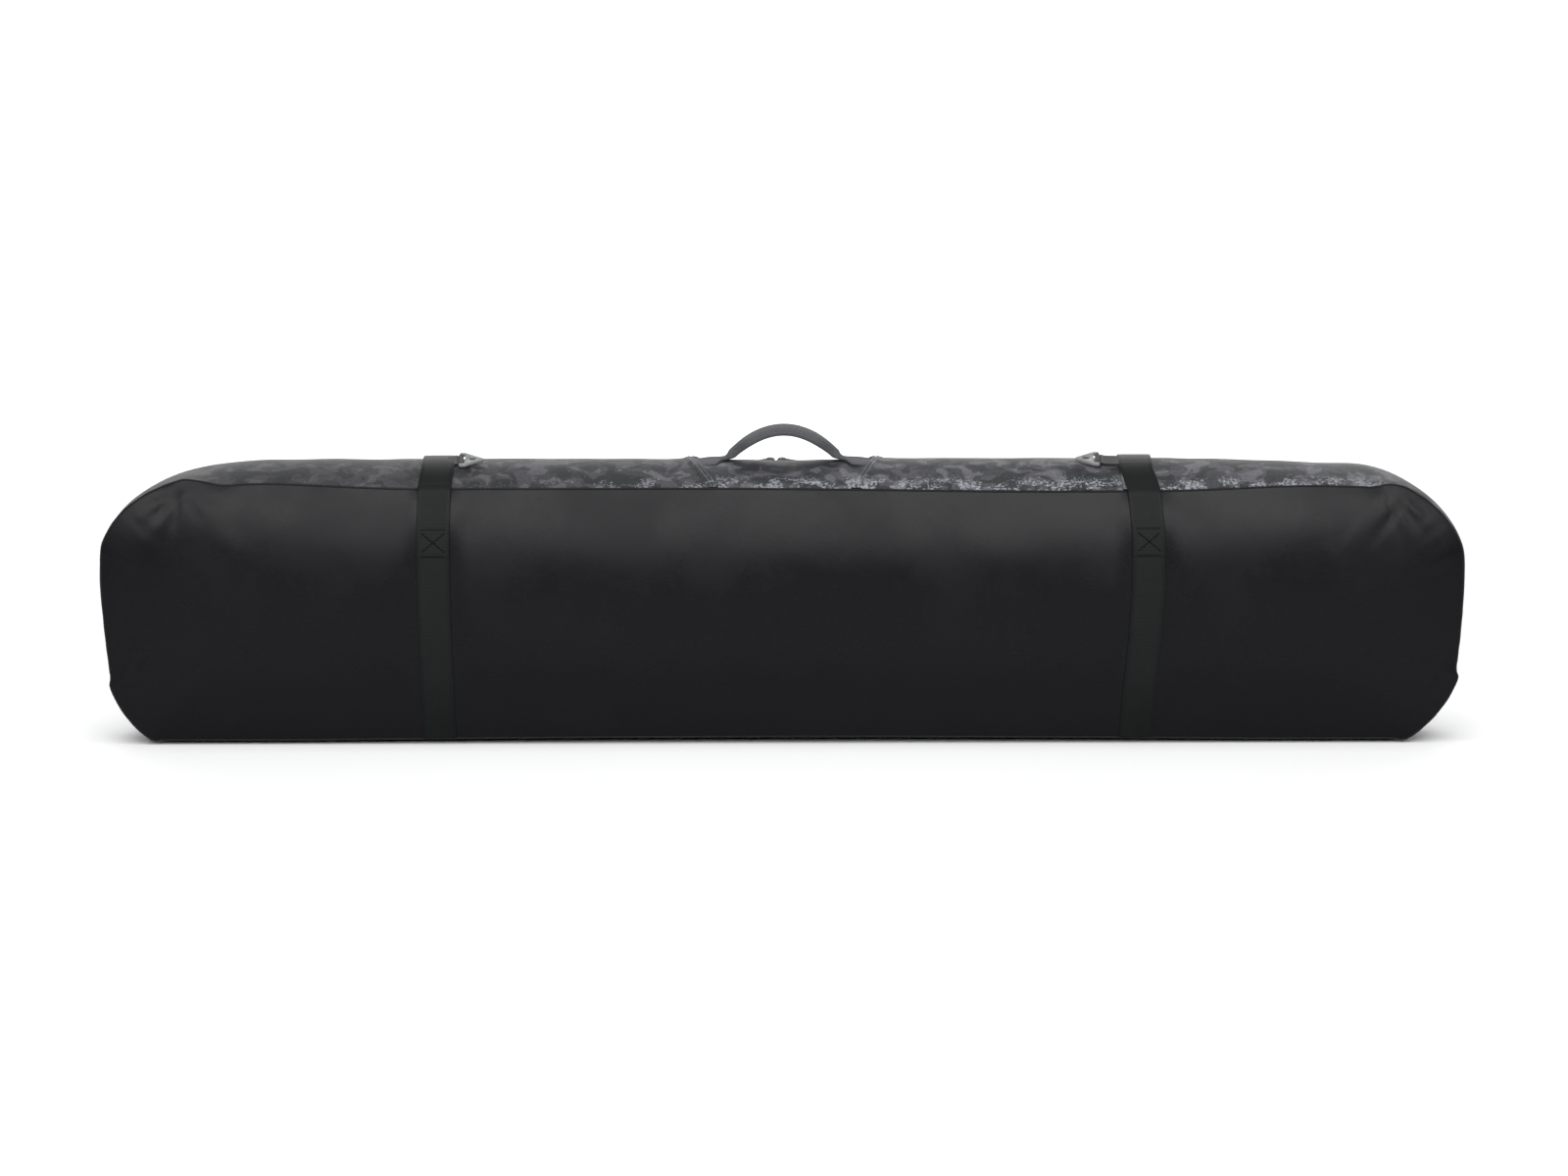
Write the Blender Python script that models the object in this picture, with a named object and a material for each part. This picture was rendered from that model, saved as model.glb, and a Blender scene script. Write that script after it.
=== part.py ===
"""A padded snowboard bag that stands on its long lower edge.

Metres. +X runs along the bag, +Y points to the side that opens, +Z is up.
The tub is the back panel with the gusset round it. The lid is the front panel, hinged along the
bottom and closed by a zip over the top and round both ends. Two compression straps cross the zip.
"""

import math

import bmesh
import bpy
import numpy as np
from mathutils import Matrix, Vector

# ---------------------------------------------------------------- driving sizes
HALF_LENGTH = 0.795
HEIGHT = 0.3265
MID_HEIGHT = 0.165
SPINE = 0.60  # half length of the flat middle line that each panel swells up to
SEAM_Y = 0.062  # each panel's seam stands this far from the middle plane
BULGE = 0.013
ARCH = 0.003  # how far the bottom rises between the two ends it rests on
ARCH_HALF = 0.56
CORNERS = {  # width, height and power of each rounded corner
    "bottom_left": (0.053, 0.075, 1.6),
    "top_left": (0.230, 0.140, 2.5),
    "top_right": (0.135, 0.115, 1.9),
    "bottom_right": (0.064, 0.085, 1.56),
}
SHELL = 0.0012
FOAM = 0.005
LINING = 0.0008
GAP = 0.0003
LAYERS = {  # how deep each layer starts and ends below the outer face
    "shell": (0.0, SHELL),
    "foam": (SHELL + GAP, SHELL + GAP + FOAM),
    "lining": (SHELL + FOAM + 2 * GAP, SHELL + FOAM + LINING + 2 * GAP),
}
PIPING = 0.0020
SEAM_EDGE = 0.0029  # the two fabrics stop this far short of the seam, on either side of the piping
BASE_TOP = 0.0135  # height of the base's joint with the end gussets

# zip, as distances from the middle plane
ZIP_Y = 0.0380
TUB_EDGE = 0.0280
TAPE_TUB = (0.0283, 0.0350)
TEETH_TUB = (0.0353, 0.0378)
TEETH_LID = (0.0382, 0.0407)
TAPE_LID = (0.0410, 0.0477)
LID_EDGE = 0.0480
TEETH = (-0.0008, 0.0014)
TEETH_FOOT = 0.045

# lid hinge along the lower front edge
HINGE_Y = 0.0635
HINGE_Z = 0.0125
BEAD = 0.0025
LID_LOW = 0.0165

# webbing straps and their buckles
STRAPS = {"left": -0.397, "right": 0.412}
WEBBING = 0.038
WEB_THICK = 0.0014
BOX_LOW, BOX_HIGH = 0.220, 0.253
SHOULDER = (-0.0668, 0.3030)  # y, z of the fold at the back edge
CROWN = (0.0, 0.3307)
BUCKLE_MOUTH = (0.0668, 0.3017)
BUCKLE_TILT = math.radians(52)
BUCKLE_WIDTH = 0.048
BUCKLE_THICK = 0.0080

# carry handle
HANDLE_X = 0.002
HANDLE_HALF = 0.0676
HANDLE_RISE = 0.0280
PIVOT_Z = 0.3325
PAD_THICK, PAD_WIDTH = 0.012, 0.044

# gusset panels along the top, as X
TOP_SEAMS = (-0.384, -0.103, 0.106, 0.390)
CURVE = (0.031, -0.027)  # how far the two middle seams swing towards the middle at the panel seam

# triangular rings: bar position and the direction the ring points
RINGS = {"left": (-0.3725, 1), "right": (0.3660, -1)}
RING_Y = -0.020
RING_WIRE = 0.0020
RING_HALF = 0.0130
RING_LENGTH = 0.0235
RING_LIFT = 0.0042

SLIDERS = {"left": (-0.014, -1), "right": (0.0, 1)}


# ---------------------------------------------------------------- building blocks
def clear_scene():
    for thing in list(bpy.data.objects):
        bpy.data.objects.remove(thing, do_unlink=True)


def material(name, colour, roughness, metallic=0.0):
    look = bpy.data.materials.get(name) or bpy.data.materials.new(name)
    look.use_nodes = True
    shader = look.node_tree.nodes["Principled BSDF"]
    shader.inputs["Base Color"].default_value = (*colour, 1.0)
    shader.inputs["Roughness"].default_value = roughness
    shader.inputs["Metallic"].default_value = metallic
    look.diffuse_color = (*colour, 1.0)
    return look


def add_piece(name, points, faces, look, smooth=False):
    """One closed mesh in its own object."""
    mesh = bpy.data.meshes.new(name)
    mesh.from_pydata([tuple(point) for point in points], [], faces)
    builder = bmesh.new()
    builder.from_mesh(mesh)
    bmesh.ops.recalc_face_normals(builder, faces=builder.faces)
    builder.to_mesh(mesh)
    builder.free()
    if smooth:
        mesh.shade_smooth()
        mesh.set_sharp_from_angle(angle=math.radians(35))
    piece = bpy.data.objects.new(name, mesh)
    piece.data.materials.append(look)
    bpy.context.scene.collection.objects.link(piece)
    return piece


def slab(name, outer, inner, look):
    """A sheet of even thickness: two grids of points, joined round their four edges."""
    rows, columns = len(outer), len(outer[0])

    def at(side, row, column):
        return (side * rows + row) * columns + column

    faces = []
    for row in range(rows - 1):
        for column in range(columns - 1):
            corners = ((row, column), (row + 1, column), (row + 1, column + 1), (row, column + 1))
            faces.append([at(0, *corner) for corner in corners])
            faces.append([at(1, *corners[turn]) for turn in (0, 3, 2, 1)])
    rim = [(row, 0) for row in range(rows)]
    rim += [(rows - 1, column) for column in range(1, columns)]
    rim += [(row, columns - 1) for row in range(rows - 2, -1, -1)]
    rim += [(0, column) for column in range(columns - 2, 0, -1)]
    for here, there in zip(rim, rim[1:] + rim[:1]):
        faces.append((at(0, *here), at(0, *there), at(1, *there), at(1, *here)))
    points = [point for grid in (outer, inner) for line in grid for point in line]
    return add_piece(name, points, faces, look, smooth=True)


def dish(name, outer, inner, look):
    """A closed panel: rings of points from its rim inwards, with a flat middle, on two levels."""
    rings, count = len(outer), len(outer[0])

    def at(side, ring, place):
        return (side * rings + ring) * count + place % count

    faces = []
    for place in range(count):
        for ring in range(rings - 1):
            corners = ((ring, place), (ring + 1, place), (ring + 1, place + 1), (ring, place + 1))
            faces.append([at(0, *corner) for corner in corners])
            faces.append([at(1, *corners[turn]) for turn in (0, 3, 2, 1)])
        faces.append((at(0, 0, place), at(0, 0, place + 1), at(1, 0, place + 1), at(1, 0, place)))
    for side in (0, 1):
        faces.append([at(side, rings - 1, place) for place in range(count)])
    points = [point for level in (outer, inner) for ring in level for point in ring]
    return add_piece(name, points, faces, look, smooth=True)


def sweep(name, rings, look, closed=False):
    """A bar through rings of points. Unless it is closed on itself, its ends are capped."""
    count = len(rings[0])
    last = len(rings) if closed else len(rings) - 1
    faces = []
    for ring in range(last):
        after = (ring + 1) % len(rings)
        for place in range(count):
            ahead = (place + 1) % count
            faces.append((ring * count + place, after * count + place,
                          after * count + ahead, ring * count + ahead))
    if not closed:
        faces.append(range(count))
        faces.append(range((len(rings) - 1) * count, len(rings) * count))
    return add_piece(name, [point for ring in rings for point in ring], faces, look, smooth=True)


def sleeve(name, outer, inner, look):
    """A tube wall between two sets of rings that have the same number of points."""
    rings, count = len(outer), len(outer[0])
    shift = rings * count
    faces = []
    for place in range(count):
        ahead = (place + 1) % count
        for ring in range(rings - 1):
            here, there = ring * count, (ring + 1) * count
            faces.append((here + place, there + place, there + ahead, here + ahead))
            faces.append((shift + here + place, shift + here + ahead,
                          shift + there + ahead, shift + there + place))
        for ring in (0, rings - 1):
            base = ring * count
            faces.append((base + place, base + ahead, shift + base + ahead, shift + base + place))
    points = [point for level in (outer, inner) for ring in level for point in ring]
    return add_piece(name, points, faces, look, smooth=True)


def box(name, low, high, look):
    """A plain block between two corners."""
    points = [Vector((x, y, z)) for x in (low[0], high[0]) for y in (low[1], high[1])
              for z in (low[2], high[2])]
    faces = [(0, 1, 3, 2), (4, 6, 7, 5), (0, 4, 5, 1), (2, 3, 7, 6), (0, 2, 6, 4), (1, 5, 7, 3)]
    return add_piece(name, points, faces, look)


def combine(piece, helper, operation):
    """Boolean union or cut by a hidden helper."""
    helper.hide_render = True
    helper.display_type = "WIRE"
    change = piece.modifiers.new(operation.lower(), "BOOLEAN")
    change.operation = operation
    change.solver = "EXACT"
    change.object = helper


def soften(piece, width, segments=2):
    bevel = piece.modifiers.new("edges", "BEVEL")
    bevel.width = width
    bevel.segments = segments
    bevel.limit_method = "ANGLE"


def set_origin(pieces, origin):
    """Moves the origins onto a joint's axis, leaving the shapes where they are."""
    for piece in pieces:
        piece.data.transform(Matrix.Translation(-Vector(origin)))
        piece.location = origin


# ---------------------------------------------------------------- the bag's outline
def quarter(width, height, power, count=90):
    """A rounded corner as offsets from its straight sides' meeting lines."""
    turn = np.linspace(0, math.pi / 2, count)
    return width * np.sin(turn) ** (2 / power), height * np.cos(turn) ** (2 / power)


def straight(start, end, count=120):
    return np.linspace(start, end, count)


def outline_points():
    """Clockwise seen from the back, from the middle of the bottom."""
    xs, zs = [], []

    def add(x, z):
        xs.append(np.broadcast_to(x, np.broadcast(x, z).shape))
        zs.append(np.broadcast_to(z, np.broadcast(x, z).shape))

    wide, tall, power = CORNERS["bottom_left"]
    out, up = quarter(wide, tall, power)
    add(straight(0, -(HALF_LENGTH - wide)), 0.0)
    add(-(HALF_LENGTH - wide) - out, tall - up)
    low = tall
    wide, tall, power = CORNERS["top_left"]
    out, up = quarter(wide, tall, power)
    add(-HALF_LENGTH, straight(low, HEIGHT - tall))
    add(-(HALF_LENGTH - wide) - out[::-1], HEIGHT - tall + up[::-1])
    left_end = -(HALF_LENGTH - wide)
    wide, tall, power = CORNERS["top_right"]
    out, up = quarter(wide, tall, power)
    add(straight(left_end, HALF_LENGTH - wide, 400), HEIGHT)
    add(HALF_LENGTH - wide + out, HEIGHT - tall + up)
    high = HEIGHT - tall
    wide, tall, power = CORNERS["bottom_right"]
    out, up = quarter(wide, tall, power)
    add(HALF_LENGTH, straight(high, tall))
    add(HALF_LENGTH - wide + out[::-1], tall - up[::-1])
    add(straight(HALF_LENGTH - wide, 0), 0.0)
    x, z = np.concatenate(xs), np.concatenate(zs)
    droop = 0.013 * (np.clip(x - 0.45, 0, None) / 0.345) ** 1.2 * z / HEIGHT
    rise = ARCH * np.clip(1 - (x / ARCH_HALF) ** 2, 0, None) * (z < MID_HEIGHT)
    lean = 1 - 0.0138 * (np.clip(0.2 - z, 0, None) / 0.121) ** 1.5
    return x * lean, z - droop + rise


class Outline:
    """The crown line round the bag, measured by the distance along it from the base's left joint."""

    def __init__(self):
        x, z = outline_points()
        step = np.hypot(np.diff(x), np.diff(z))
        keep = np.concatenate(([True], step > 1e-7))
        x, z = x[keep], z[keep]
        along = np.concatenate(([0.0], np.cumsum(np.hypot(np.diff(x), np.diff(z)))))
        self.length = along[-1]
        even = np.linspace(0, self.length, 2400, endpoint=False)
        x, z = np.interp(even, along, x), np.interp(even, along, z)
        start = np.argmax((x < -0.5) & (z > BASE_TOP))
        self.x, self.z = np.roll(x, -start), np.roll(z, -start)
        self.s = even
        dx = np.roll(self.x, -2) - np.roll(self.x, 2)
        dz = np.roll(self.z, -2) - np.roll(self.z, 2)
        size = np.hypot(dx, dz)
        self.nx, self.nz = -dz / size, dx / size
        turn = np.unwrap(np.arctan2(self.nz, self.nx))
        change = np.abs(np.diff(turn, append=turn[0] - 2 * math.pi))
        spacing = self.length / len(even)
        self.cost = np.cumsum(change / math.radians(13) + spacing / 0.14)

    def read(self, values, s):
        return float(np.interp(s % self.length, self.s, values, period=self.length))

    def at(self, s):
        """Position and outward direction in X and Z."""
        return [self.read(values, s) for values in (self.x, self.z, self.nx, self.nz)]

    def top(self, x):
        """Distance along to a place on the top."""
        rows = np.where(self.z > MID_HEIGHT)[0]
        return float(np.interp(x, self.x[rows], self.s[rows]))

    def end(self, side, z):
        """Distance along to a height on the left or right end."""
        rows = np.where((self.x * side > 0.6) & (self.z < 0.2))[0]
        order = rows[np.argsort(self.z[rows])]
        return float(np.interp(z, self.z[order], self.s[order]))

    def stations(self, start, stop):
        """Places that share out the bends and the length evenly."""
        first, last = np.interp((start, stop), self.s, self.cost)
        count = max(1, math.ceil(last - first))
        marks = np.interp(np.linspace(first, last, count + 1), self.cost, self.s)
        marks[0], marks[-1] = start, stop
        return [float(mark) for mark in marks]


OUTLINE = Outline()
BASE_START = OUTLINE.end(1, BASE_TOP)
LID_START = OUTLINE.end(-1, LID_LOW)
LID_STOP = OUTLINE.end(1, LID_LOW)
JOINTS = [0.0, *[OUTLINE.top(x) for x in TOP_SEAMS], BASE_START]
TUB_RUN = sorted({mark for pair in zip(JOINTS, JOINTS[1:]) for mark in OUTLINE.stations(*pair)})
BASE_RUN = OUTLINE.stations(BASE_START, OUTLINE.length - 1e-6)
LID_RUN = [LID_START, *[s for s in TUB_RUN if LID_START + 0.004 < s < LID_STOP - 0.004], LID_STOP]


def seam_inset(x, nz):
    """How far the panel seam lies inside the crown line: deep along the top, little elsewhere."""
    if nz < 0:
        return 0.008 + 0.003 * nz
    ease = min(1.0, max(0.0, (0.72 - abs(x)) / 0.17))
    ease = ease * ease * (3 - 2 * ease)
    return 0.004 + 0.025 * ease + 0.004 * (1 - nz) ** 2


def swell(y, nz):
    """The gusset's rounded section, with a flat middle along the bottom."""
    flat = 0.4 * max(0.0, -nz)
    reach = max(0.0, abs(y) / SEAM_Y - flat) / (1 - flat)
    return reach * reach


def skin(s, y, depth):
    """A point on or under the gusset's outer face."""
    x, z, nx, nz = OUTLINE.at(s)
    inset = seam_inset(x, nz) * swell(y, nz) + depth
    return Vector((x - nx * inset, y, z - nz * inset))


def crown_height(y):
    """Height of the gusset along the straight top."""
    return HEIGHT - seam_inset(0.0, 1.0) * swell(y, 1.0)


def strip(name, run, ys, depths, look):
    """Part of the gusset: a sheet between two depths. A run's place may depend on y."""
    grids = []
    for depth in depths:
        rows = [[skin(s(y) if callable(s) else s, y, depth) for y in ys] for s in run]
        grids.append(rows)
    return slab(name, grids[0], grids[1], look)


# ---------------------------------------------------------------- panels
PANEL_RINGS = (1.0, 0.94, 0.83, 0.64, 0.36)


def panel_swell(ring):
    return BULGE * (1 - ring ** 4)


def panel_point(s, ring, depth, edge, side, floor):
    x, z, nx, nz = OUTLINE.at(s)
    inset = seam_inset(x, nz) + edge
    x, z = x - nx * inset, max(z - nz * inset, floor)
    middle = max(-SPINE, min(SPINE, x))
    z = MID_HEIGHT + ring * (z - MID_HEIGHT)
    return Vector((middle + ring * (x - middle), side * (SEAM_Y + panel_swell(ring) - depth), z))


def panel(name, layer, side, edge, floor, look):
    run = TUB_RUN[:-1] + BASE_RUN[:-1]
    levels = [[[panel_point(s, ring, depth, edge, side, floor) for s in run] for ring in PANEL_RINGS]
              for depth in LAYERS[layer]]
    return dish(name, levels[0], levels[1], look)


def panel_span(z, side):
    """Height from the panel's middle line to its rim, above or below, along the straight stretch."""
    if z > MID_HEIGHT:
        return HEIGHT - seam_inset(0.0, 1.0) - SEAM_EDGE - MID_HEIGHT
    rim = ARCH / 2 + seam_inset(0.0, -1.0) + SEAM_EDGE
    return MID_HEIGHT - (rim if side < 0 else max(rim, HINGE_Z + BEAD + GAP))


def panel_face(z, side):
    """How far the panel's outer face stands from the middle plane at a height, away from the ends."""
    ring = abs(z - MID_HEIGHT) / panel_span(z, side)
    steps = sorted(PANEL_RINGS)
    return SEAM_Y + float(np.interp(ring, steps, [panel_swell(step) for step in steps]))


def panel_heights(low, high, side):
    """Heights at which the panel's facets bend, between two limits."""
    bends = sorted(MID_HEIGHT + way * ring * panel_span(MID_HEIGHT + way, side)
                   for ring in PANEL_RINGS for way in (-1, 1))
    return [low, *[z for z in bends if low + 0.002 < z < high - 0.002], high]


def make_panels(shell, foam, lining):
    looks = {"shell": shell, "foam": foam, "lining": lining}
    edges = {"shell": SEAM_EDGE, "foam": SEAM_EDGE + GAP, "lining": 0.0075}
    rise = {"shell": 0.0, "foam": 0.0015, "lining": 0.003}
    for layer, look in looks.items():
        panel(f"back_panel_{layer}", layer, -1, edges[layer], 0.0, look)
        floor = HINGE_Z + BEAD + GAP + rise[layer]
        panel(f"lid_panel_{layer}", layer, 1, edges[layer], floor, look)


def piping_ring(s, side):
    x, z, nx, nz = OUTLINE.at(s)
    inset = seam_inset(x, nz) + 0.0002
    middle = Vector((x - nx * inset, side * (SEAM_Y - 0.0002), z - nz * inset))
    out, back = Vector((nx, 0, nz)), Vector((0, 1, 0))
    turns = [math.tau * step / 6 for step in range(6)]
    return [middle + PIPING * (math.cos(turn) * out + math.sin(turn) * back) for turn in turns]


def make_piping(look):
    run = TUB_RUN[:-1] + BASE_RUN[:-1]
    sweep("back_piping", [piping_ring(s, -1) for s in run], look, closed=True)
    sweep("lid_piping", [piping_ring(s, 1) for s in LID_RUN], look)


# ---------------------------------------------------------------- gusset
def middle_seam(which):
    """The curved seams beside the handle, as a place that depends on y."""
    x, swing = TOP_SEAMS[which], CURVE[which - 1]
    return lambda y: OUTLINE.top(x + swing * (abs(y) / SEAM_Y) ** 1.5)


def inside(run):
    """Draws a run's ends in by half a gap."""
    return [run[0] + GAP / 2, *run[1:-1], run[-1] - GAP / 2]


def make_gusset(shell, foam, lining):
    ys = (-SEAM_Y + SEAM_EDGE, -0.055, -0.044, -0.025, 0.0, TUB_EDGE)
    left, right = middle_seam(1), middle_seam(2)
    spans = [[s for s in TUB_RUN if a <= s <= b] for a, b in zip(JOINTS, JOINTS[1:])]
    half = GAP / 2
    top_left = [spans[1][0] + half, *spans[1][1:-1], lambda y: left(y) - half]
    top_centre = [lambda y: left(y) + half, OUTLINE.top(HANDLE_X), lambda y: right(y) - half]
    top_right = [lambda y: right(y) + half, *spans[3][1:-1], spans[3][-1] - half]
    runs = {"left": inside(spans[0]), "top_left": top_left, "top_centre": top_centre,
            "top_right": top_right, "right": inside(spans[4])}
    for name, run in runs.items():
        strip(f"gusset_{name}_shell", run, ys, LAYERS["shell"], shell)
    strip("gusset_foam", inside(TUB_RUN), (-0.055, *ys[2:5], TUB_EDGE), LAYERS["foam"], foam)
    strip("gusset_lining", inside(TUB_RUN), (-0.055, *ys[2:5], TUB_EDGE), LAYERS["lining"], lining)
    ys = (-SEAM_Y + SEAM_EDGE, -0.055, -0.040, -0.0248, 0.0248, 0.040, 0.055, SEAM_Y - SEAM_EDGE)
    strip("base_shell", inside(BASE_RUN), ys, LAYERS["shell"], shell)
    inner = inside(BASE_RUN)
    strip("base_foam", inner, (-0.055, *ys[2:6], 0.053), LAYERS["foam"], foam)
    strip("base_lining", inner, (-0.055, *ys[2:6], 0.053), LAYERS["lining"], lining)
    ys = (LID_EDGE, 0.055, SEAM_Y - SEAM_EDGE)
    strip("lid_gusset_shell", LID_RUN, ys, LAYERS["shell"], shell)


def make_hinge_fold(look):
    """The folded cloth that joins the lid to the base, with a bead on the hinge line."""
    rings = []
    run = [s for s in BASE_RUN if abs(OUTLINE.at(s)[0]) < 0.70]
    for s in run:
        edge = skin(s, SEAM_Y - SEAM_EDGE, 0.0)
        turns = [math.radians(angle) for angle in range(-60, 181, 40)]
        ring = [Vector((edge.x, HINGE_Y + BEAD * math.cos(turn), HINGE_Z + BEAD * math.sin(turn)))
                for turn in turns]
        foot_y = SEAM_Y - SEAM_EDGE + 0.0005
        ring += [Vector((edge.x, foot_y, edge.z + SHELL)), Vector((edge.x, foot_y, edge.z))]
        rings.append(ring)
    sweep("hinge_fold", rings, look)


# ---------------------------------------------------------------- zip
def make_zip(tape, teeth, metal):
    strip("zip_tape_tub", LID_RUN, TAPE_TUB, (0.0, LINING), tape)
    strip("zip_tape_lid", LID_RUN, TAPE_LID, (0.0, LINING), tape)
    start, stop = OUTLINE.end(-1, TEETH_FOOT), OUTLINE.end(1, TEETH_FOOT)
    run = [start, *[s for s in LID_RUN if start + 0.01 < s < stop - 0.01], stop]
    strip("zip_teeth_tub", run, TEETH_TUB, TEETH, teeth)
    strip("zip_teeth_lid", run, TEETH_LID, TEETH, teeth)
    for side, foot in (("left", start - 0.0085), ("right", stop + 0.0005)):
        strip(f"zip_stop_{side}", (foot, foot + 0.008), TEETH_TUB, (TEETH[0] - 0.0006, TEETH[1]), metal)


def zip_frame(x):
    """Stands on the zip's middle line, with its own Z square to the cloth."""
    slope = 2 * seam_inset(0.0, 1.0) * ZIP_Y / SEAM_Y ** 2
    return Matrix.Translation((x, ZIP_Y, crown_height(ZIP_Y))) @ Matrix.Rotation(-math.atan(slope), 4, "X")


def place_at(piece, frame, axis_point):
    """Seats a piece drawn in a local frame, with its origin at a local point."""
    piece.data.transform(Matrix.Translation(-Vector(axis_point)))
    piece.matrix_world = frame @ Matrix.Translation(axis_point)


def prism(name, outline, low, high, look, plane="YZ"):
    """An outline in one plane, drawn out along the third axis."""
    def put(pair, level):
        a, b = pair
        return Vector((level, a, b)) if plane == "YZ" else Vector((a, level, b))
    return sweep(name, [[put(pair, level) for pair in outline] for level in (low, high)], look)


def make_slider(side, metal):
    """A slider that rides over the teeth, with a bail on top and a pull frame through the bail."""
    x, way = SLIDERS[side]
    wall, roof, top = 0.0046, 0.0040, 0.0052
    channel = [(-0.006, 0.0005), (-0.006, top), (wall, top), (wall, roof), (-wall, roof), (-wall, 0.0005)]
    body = prism(f"zip_slider_{side}", channel, -0.0055, 0.0055, metal)
    bail = [(-0.0042, 0.0047), (-0.0042, 0.0088), (0.0042, 0.0088), (0.0042, 0.0047),
            (0.0026, 0.0047), (0.0026, 0.0076), (-0.0026, 0.0076), (-0.0026, 0.0047)]
    arch = prism(f"bail_{side}", bail, -0.0015, 0.0015, metal, plane="XZ")
    combine(body, arch, "UNION")
    axis = 0.0064
    pull = box(f"zip_pull_{side}", (-0.0008, -0.0042, axis - 0.0007), (0.024, 0.0042, axis + 0.0007), metal)
    window = box(f"window_{side}", (0.0008, -0.0024, 0.0), (0.006, 0.0024, 0.02), metal)
    combine(pull, window, "DIFFERENCE")
    frame = zip_frame(x)
    turned = frame @ Matrix.Rotation(0 if way > 0 else math.pi, 4, "Z")
    for piece, where, point in ((body, frame, (0, 0, 0)), (arch, frame, (0, 0, 0)),
                                (pull, turned, (0, 0, axis)), (window, turned, (0, 0, axis))):
        place_at(piece, where, point)


# ---------------------------------------------------------------- straps
def ribbon(name, centre, path, look, width=WEBBING, thick=WEB_THICK):
    """Webbing along a path of (y, z) points on its underside. It thickens to the path's left."""
    ys, zs = np.array(path).T
    dy, dz = np.gradient(ys), np.gradient(zs)
    size = np.hypot(dy, dz)
    up_y, up_z = -dz / size, dy / size
    sides = (centre - width / 2, centre + width / 2)
    under = [[Vector((x, y, z)) for x in sides] for y, z in zip(ys, zs)]
    over = [[Vector((x, y, z)) for x in sides]
            for y, z in zip(ys + thick * up_y, zs + thick * up_z)]
    return slab(name, over, under, look)


def climb(side, low, high, lift):
    """A path up a panel's outer face."""
    return [(side * (panel_face(z, side) + lift), z) for z in panel_heights(low, high, side)]


def over_top(ys, lift):
    return [(y, crown_height(y) + lift) for y in ys]


def make_straps(web):
    lift = GAP + WEB_THICK + GAP
    for side, x in STRAPS.items():
        ribbon(f"strap_back_{side}", x, climb(-1, 0.022, BOX_HIGH, GAP), web)
        path = climb(-1, BOX_LOW, 0.2765, lift) + [(-0.0668, 0.2925), (-0.0652, 0.2985)]
        ribbon(f"strap_rise_{side}", x, path, web)
        path = [(-0.0640, 0.3011)] + over_top((-0.055, -0.044, -0.033, -0.022, -0.011, -0.0012), 0.0026)
        top = ribbon(f"strap_top_{side}", x, path, web)
        set_origin([top], (x, *SHOULDER))
        path = over_top((0.0012, 0.012, 0.025, 0.037, 0.046), 0.0030)
        up_y, up_z = -math.sin(math.pi / 2 - BUCKLE_TILT), math.cos(math.pi / 2 - BUCKLE_TILT)
        path += [(BUCKLE_MOUTH[0] + 0.0135 * up_y, BUCKLE_MOUTH[1] + 0.0135 * up_z)]
        end = ribbon(f"strap_end_{side}", x, path, web)
        set_origin([end], (x, *CROWN))


# ---------------------------------------------------------------- buckles
def buckle_frame(x):
    """Origin at the female half's mouth, own Z towards the male half, own Y out of the bag."""
    turn = Matrix.Rotation(math.pi / 2 - BUCKLE_TILT, 4, "X")
    return Matrix.Translation((x, *BUCKLE_MOUTH)) @ turn


def make_buckle(side, x, look, web):
    half, thick = BUCKLE_WIDTH / 2, BUCKLE_THICK / 2
    frame = buckle_frame(x)
    female = box(f"buckle_female_{side}", (-half, -thick, -0.030), (half, thick, -0.0004), look)
    soften(female, 0.0012)
    pocket = box(f"pocket_{side}", (-half + 0.003, -0.0024, -0.0145), (half - 0.003, 0.0024, 0.01), look)
    slot = box(f"web_slot_{side}", (-WEBBING / 2 - 0.001, -0.02, -0.0255),
               (WEBBING / 2 + 0.001, 0.02, -0.0205), look)
    combine(female, pocket, "DIFFERENCE")
    combine(female, slot, "DIFFERENCE")
    male = box(f"buckle_male_{side}", (-half + 0.001, -thick + 0.001, 0.0004),
               (half - 0.001, thick - 0.001, 0.0130), look)
    soften(male, 0.0012)
    prong = box(f"prongs_{side}", (-half + 0.005, -0.0014, -0.0120), (half - 0.005, 0.0014, 0.002), look)
    notch = box(f"prong_gap_{side}", (-half + 0.011, -0.01, -0.02), (half - 0.011, 0.01, 0.00035), look)
    combine(male, prong, "UNION")
    combine(male, notch, "DIFFERENCE")
    for piece in (female, pocket, slot, male, prong, notch):
        piece.matrix_world = frame
    for piece in (male, prong, notch):
        move = frame.inverted() @ Vector((x, *CROWN))
        piece.data.transform(Matrix.Translation(-move))
        piece.matrix_world = frame @ Matrix.Translation(move)
    out = frame @ Vector((0, 0, -0.0304)) - Vector((x, 0, 0))
    path = climb(1, 0.022, 0.246, GAP) + [(0.0770, 0.262), (0.0810, 0.272), (out.y, out.z)]
    return ribbon(f"strap_front_{side}", x, path, web, thick=-WEB_THICK)


# ---------------------------------------------------------------- carry handle
def handle_arch(count):
    """Points along the arch with the direction square to it, from foot to foot."""
    places = []
    for step in range(count + 1):
        across = -math.cos(math.pi * step / count)
        up = 1 - abs(across) ** 1.9
        places.append(Vector((HANDLE_X + HANDLE_HALF * across, 0, PIVOT_Z + HANDLE_RISE * up)))
    frames = []
    for step, place in enumerate(places):
        ahead = places[min(step + 1, count)] - places[max(step - 1, 0)]
        ahead.normalize()
        frames.append((place, Vector((-ahead.z, 0, ahead.x))))
    return frames


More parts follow.
